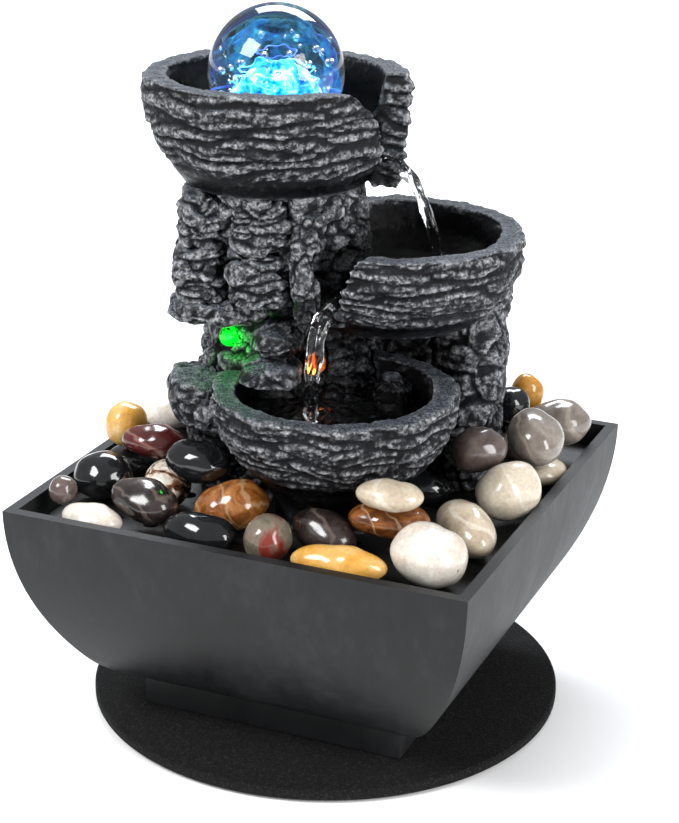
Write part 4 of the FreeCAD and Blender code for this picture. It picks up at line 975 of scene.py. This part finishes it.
camera = bpy.data.objects.new("camera", bpy.data.cameras.new("camera"))
bpy.context.scene.collection.objects.link(camera)
camera.data.sensor_width = 36.0
camera.data.lens = 88.8
camera.data.clip_start = 0.01
camera.data.clip_end = 20.0
turned = Matrix((RIGHT, UP, -AHEAD)).transposed().to_4x4()
camera.matrix_world = Matrix.Translation(CAMERA_AT) @ turned
bpy.context.scene.camera = camera

floor_paint = Shader("studio_floor")
floor_paint.set(Roughness=0.6, Specular_IOR_Level=0.2)
floor_paint.colour(floor_paint.ramp(floor_paint.noise(3, 3), (0.3, 0.88), (0.7, 0.91)))


def floor_disc(fades, across=64):
    """A round floor as rings of (reach, share of its own light), and that share at each corner."""
    verts, shares, faces = [(0, 0, 0)], [fades[0][1]], []
    for ring, (reach, share) in enumerate(fades):
        inner = 1 + (ring - 1) * across
        for step, turn in enumerate(circle_turns(across)):
            verts.append((reach * math.cos(turn), reach * math.sin(turn), 0))
            shares.append(share)
            after = (step + 1) % across
            if ring:
                faces.append((inner + step, inner + across + step, inner + across + after, inner + after))
            else:
                faces.append((0, 1 + step, 1 + after))
    return verts, shares, faces


# Near the fountain the floor is lit by the lamps alone and takes its shadow; far off it fades to white.
verts, shares, faces = floor_disc([(0.1, 0.1), (0.25, 0.12), (0.45, 0.25), (0.8, 0.6), (1.6, 1.0),
                                   (10.0, 1.2)])
floor = new_object("studio_floor", verts, faces, floor_paint.material, smooth=False)
store(floor.data, "fade", shares)
floor_paint.set(Emission_Color=(1, 1, 1, 1))
floor_paint.link(floor_paint.attribute("fade"), floor_paint.surface.inputs["Emission Strength"])
floor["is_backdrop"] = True

world = bpy.data.worlds.new("studio")
bpy.context.scene.world = world
world.use_nodes = True
sky = world.node_tree.nodes["Background"].inputs
sky["Color"].default_value = (0.96, 0.98, 1.0, 1)
sky["Strength"].default_value = 0.42
bpy.context.scene.view_settings.view_transform = "Standard"


def softbox(name, at, aim, width, height, power, colour=(1, 1, 1)):
    """A large soft lamp that faces what it aims at."""
    lamp = bpy.data.lights.new(name, "AREA")
    lamp.shape = "RECTANGLE"
    lamp.size, lamp.size_y = width, height
    lamp.energy = power
    lamp.color = colour
    obj = bpy.data.objects.new(name, lamp)
    bpy.context.scene.collection.objects.link(obj)
    obj.location = at
    obj.rotation_euler = (Vector(aim) - Vector(at)).to_track_quat("-Z", "Y").to_euler()


softbox("key", (-0.55, -0.75, 1.05), (0, 0, 0.12), 0.55, 0.55, 16)
softbox("side", (0.95, -0.35, 0.5), (0, 0, 0.12), 0.35, 0.8, 9)
softbox("back", (-0.25, 0.85, 1.0), (0, 0, 0.15), 0.9, 0.45, 16, (0.9, 0.95, 1.0))


def glow(name, at, power, colour, radius):
    """The light that a lens throws on the rock round it, which rides with the tower."""
    lamp = bpy.data.lights.new(name, "POINT")
    lamp.energy = power
    lamp.color = colour
    lamp.shadow_soft_size = radius * MM
    obj = bpy.data.objects.new(name, lamp)
    bpy.context.scene.collection.objects.link(obj)
    obj.location = tower_point(*at)
    obj.parent = frame["bodies"]["tower"]


glow("green_glow", (-37, -10.5, 148), 0.008, (0.0, 1.0, 0.04), 1.5)
glow("amber_glow", (-5, -17.5, 140), 0.001, (1.0, 0.25, 0.03), 1.5)

low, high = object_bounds()
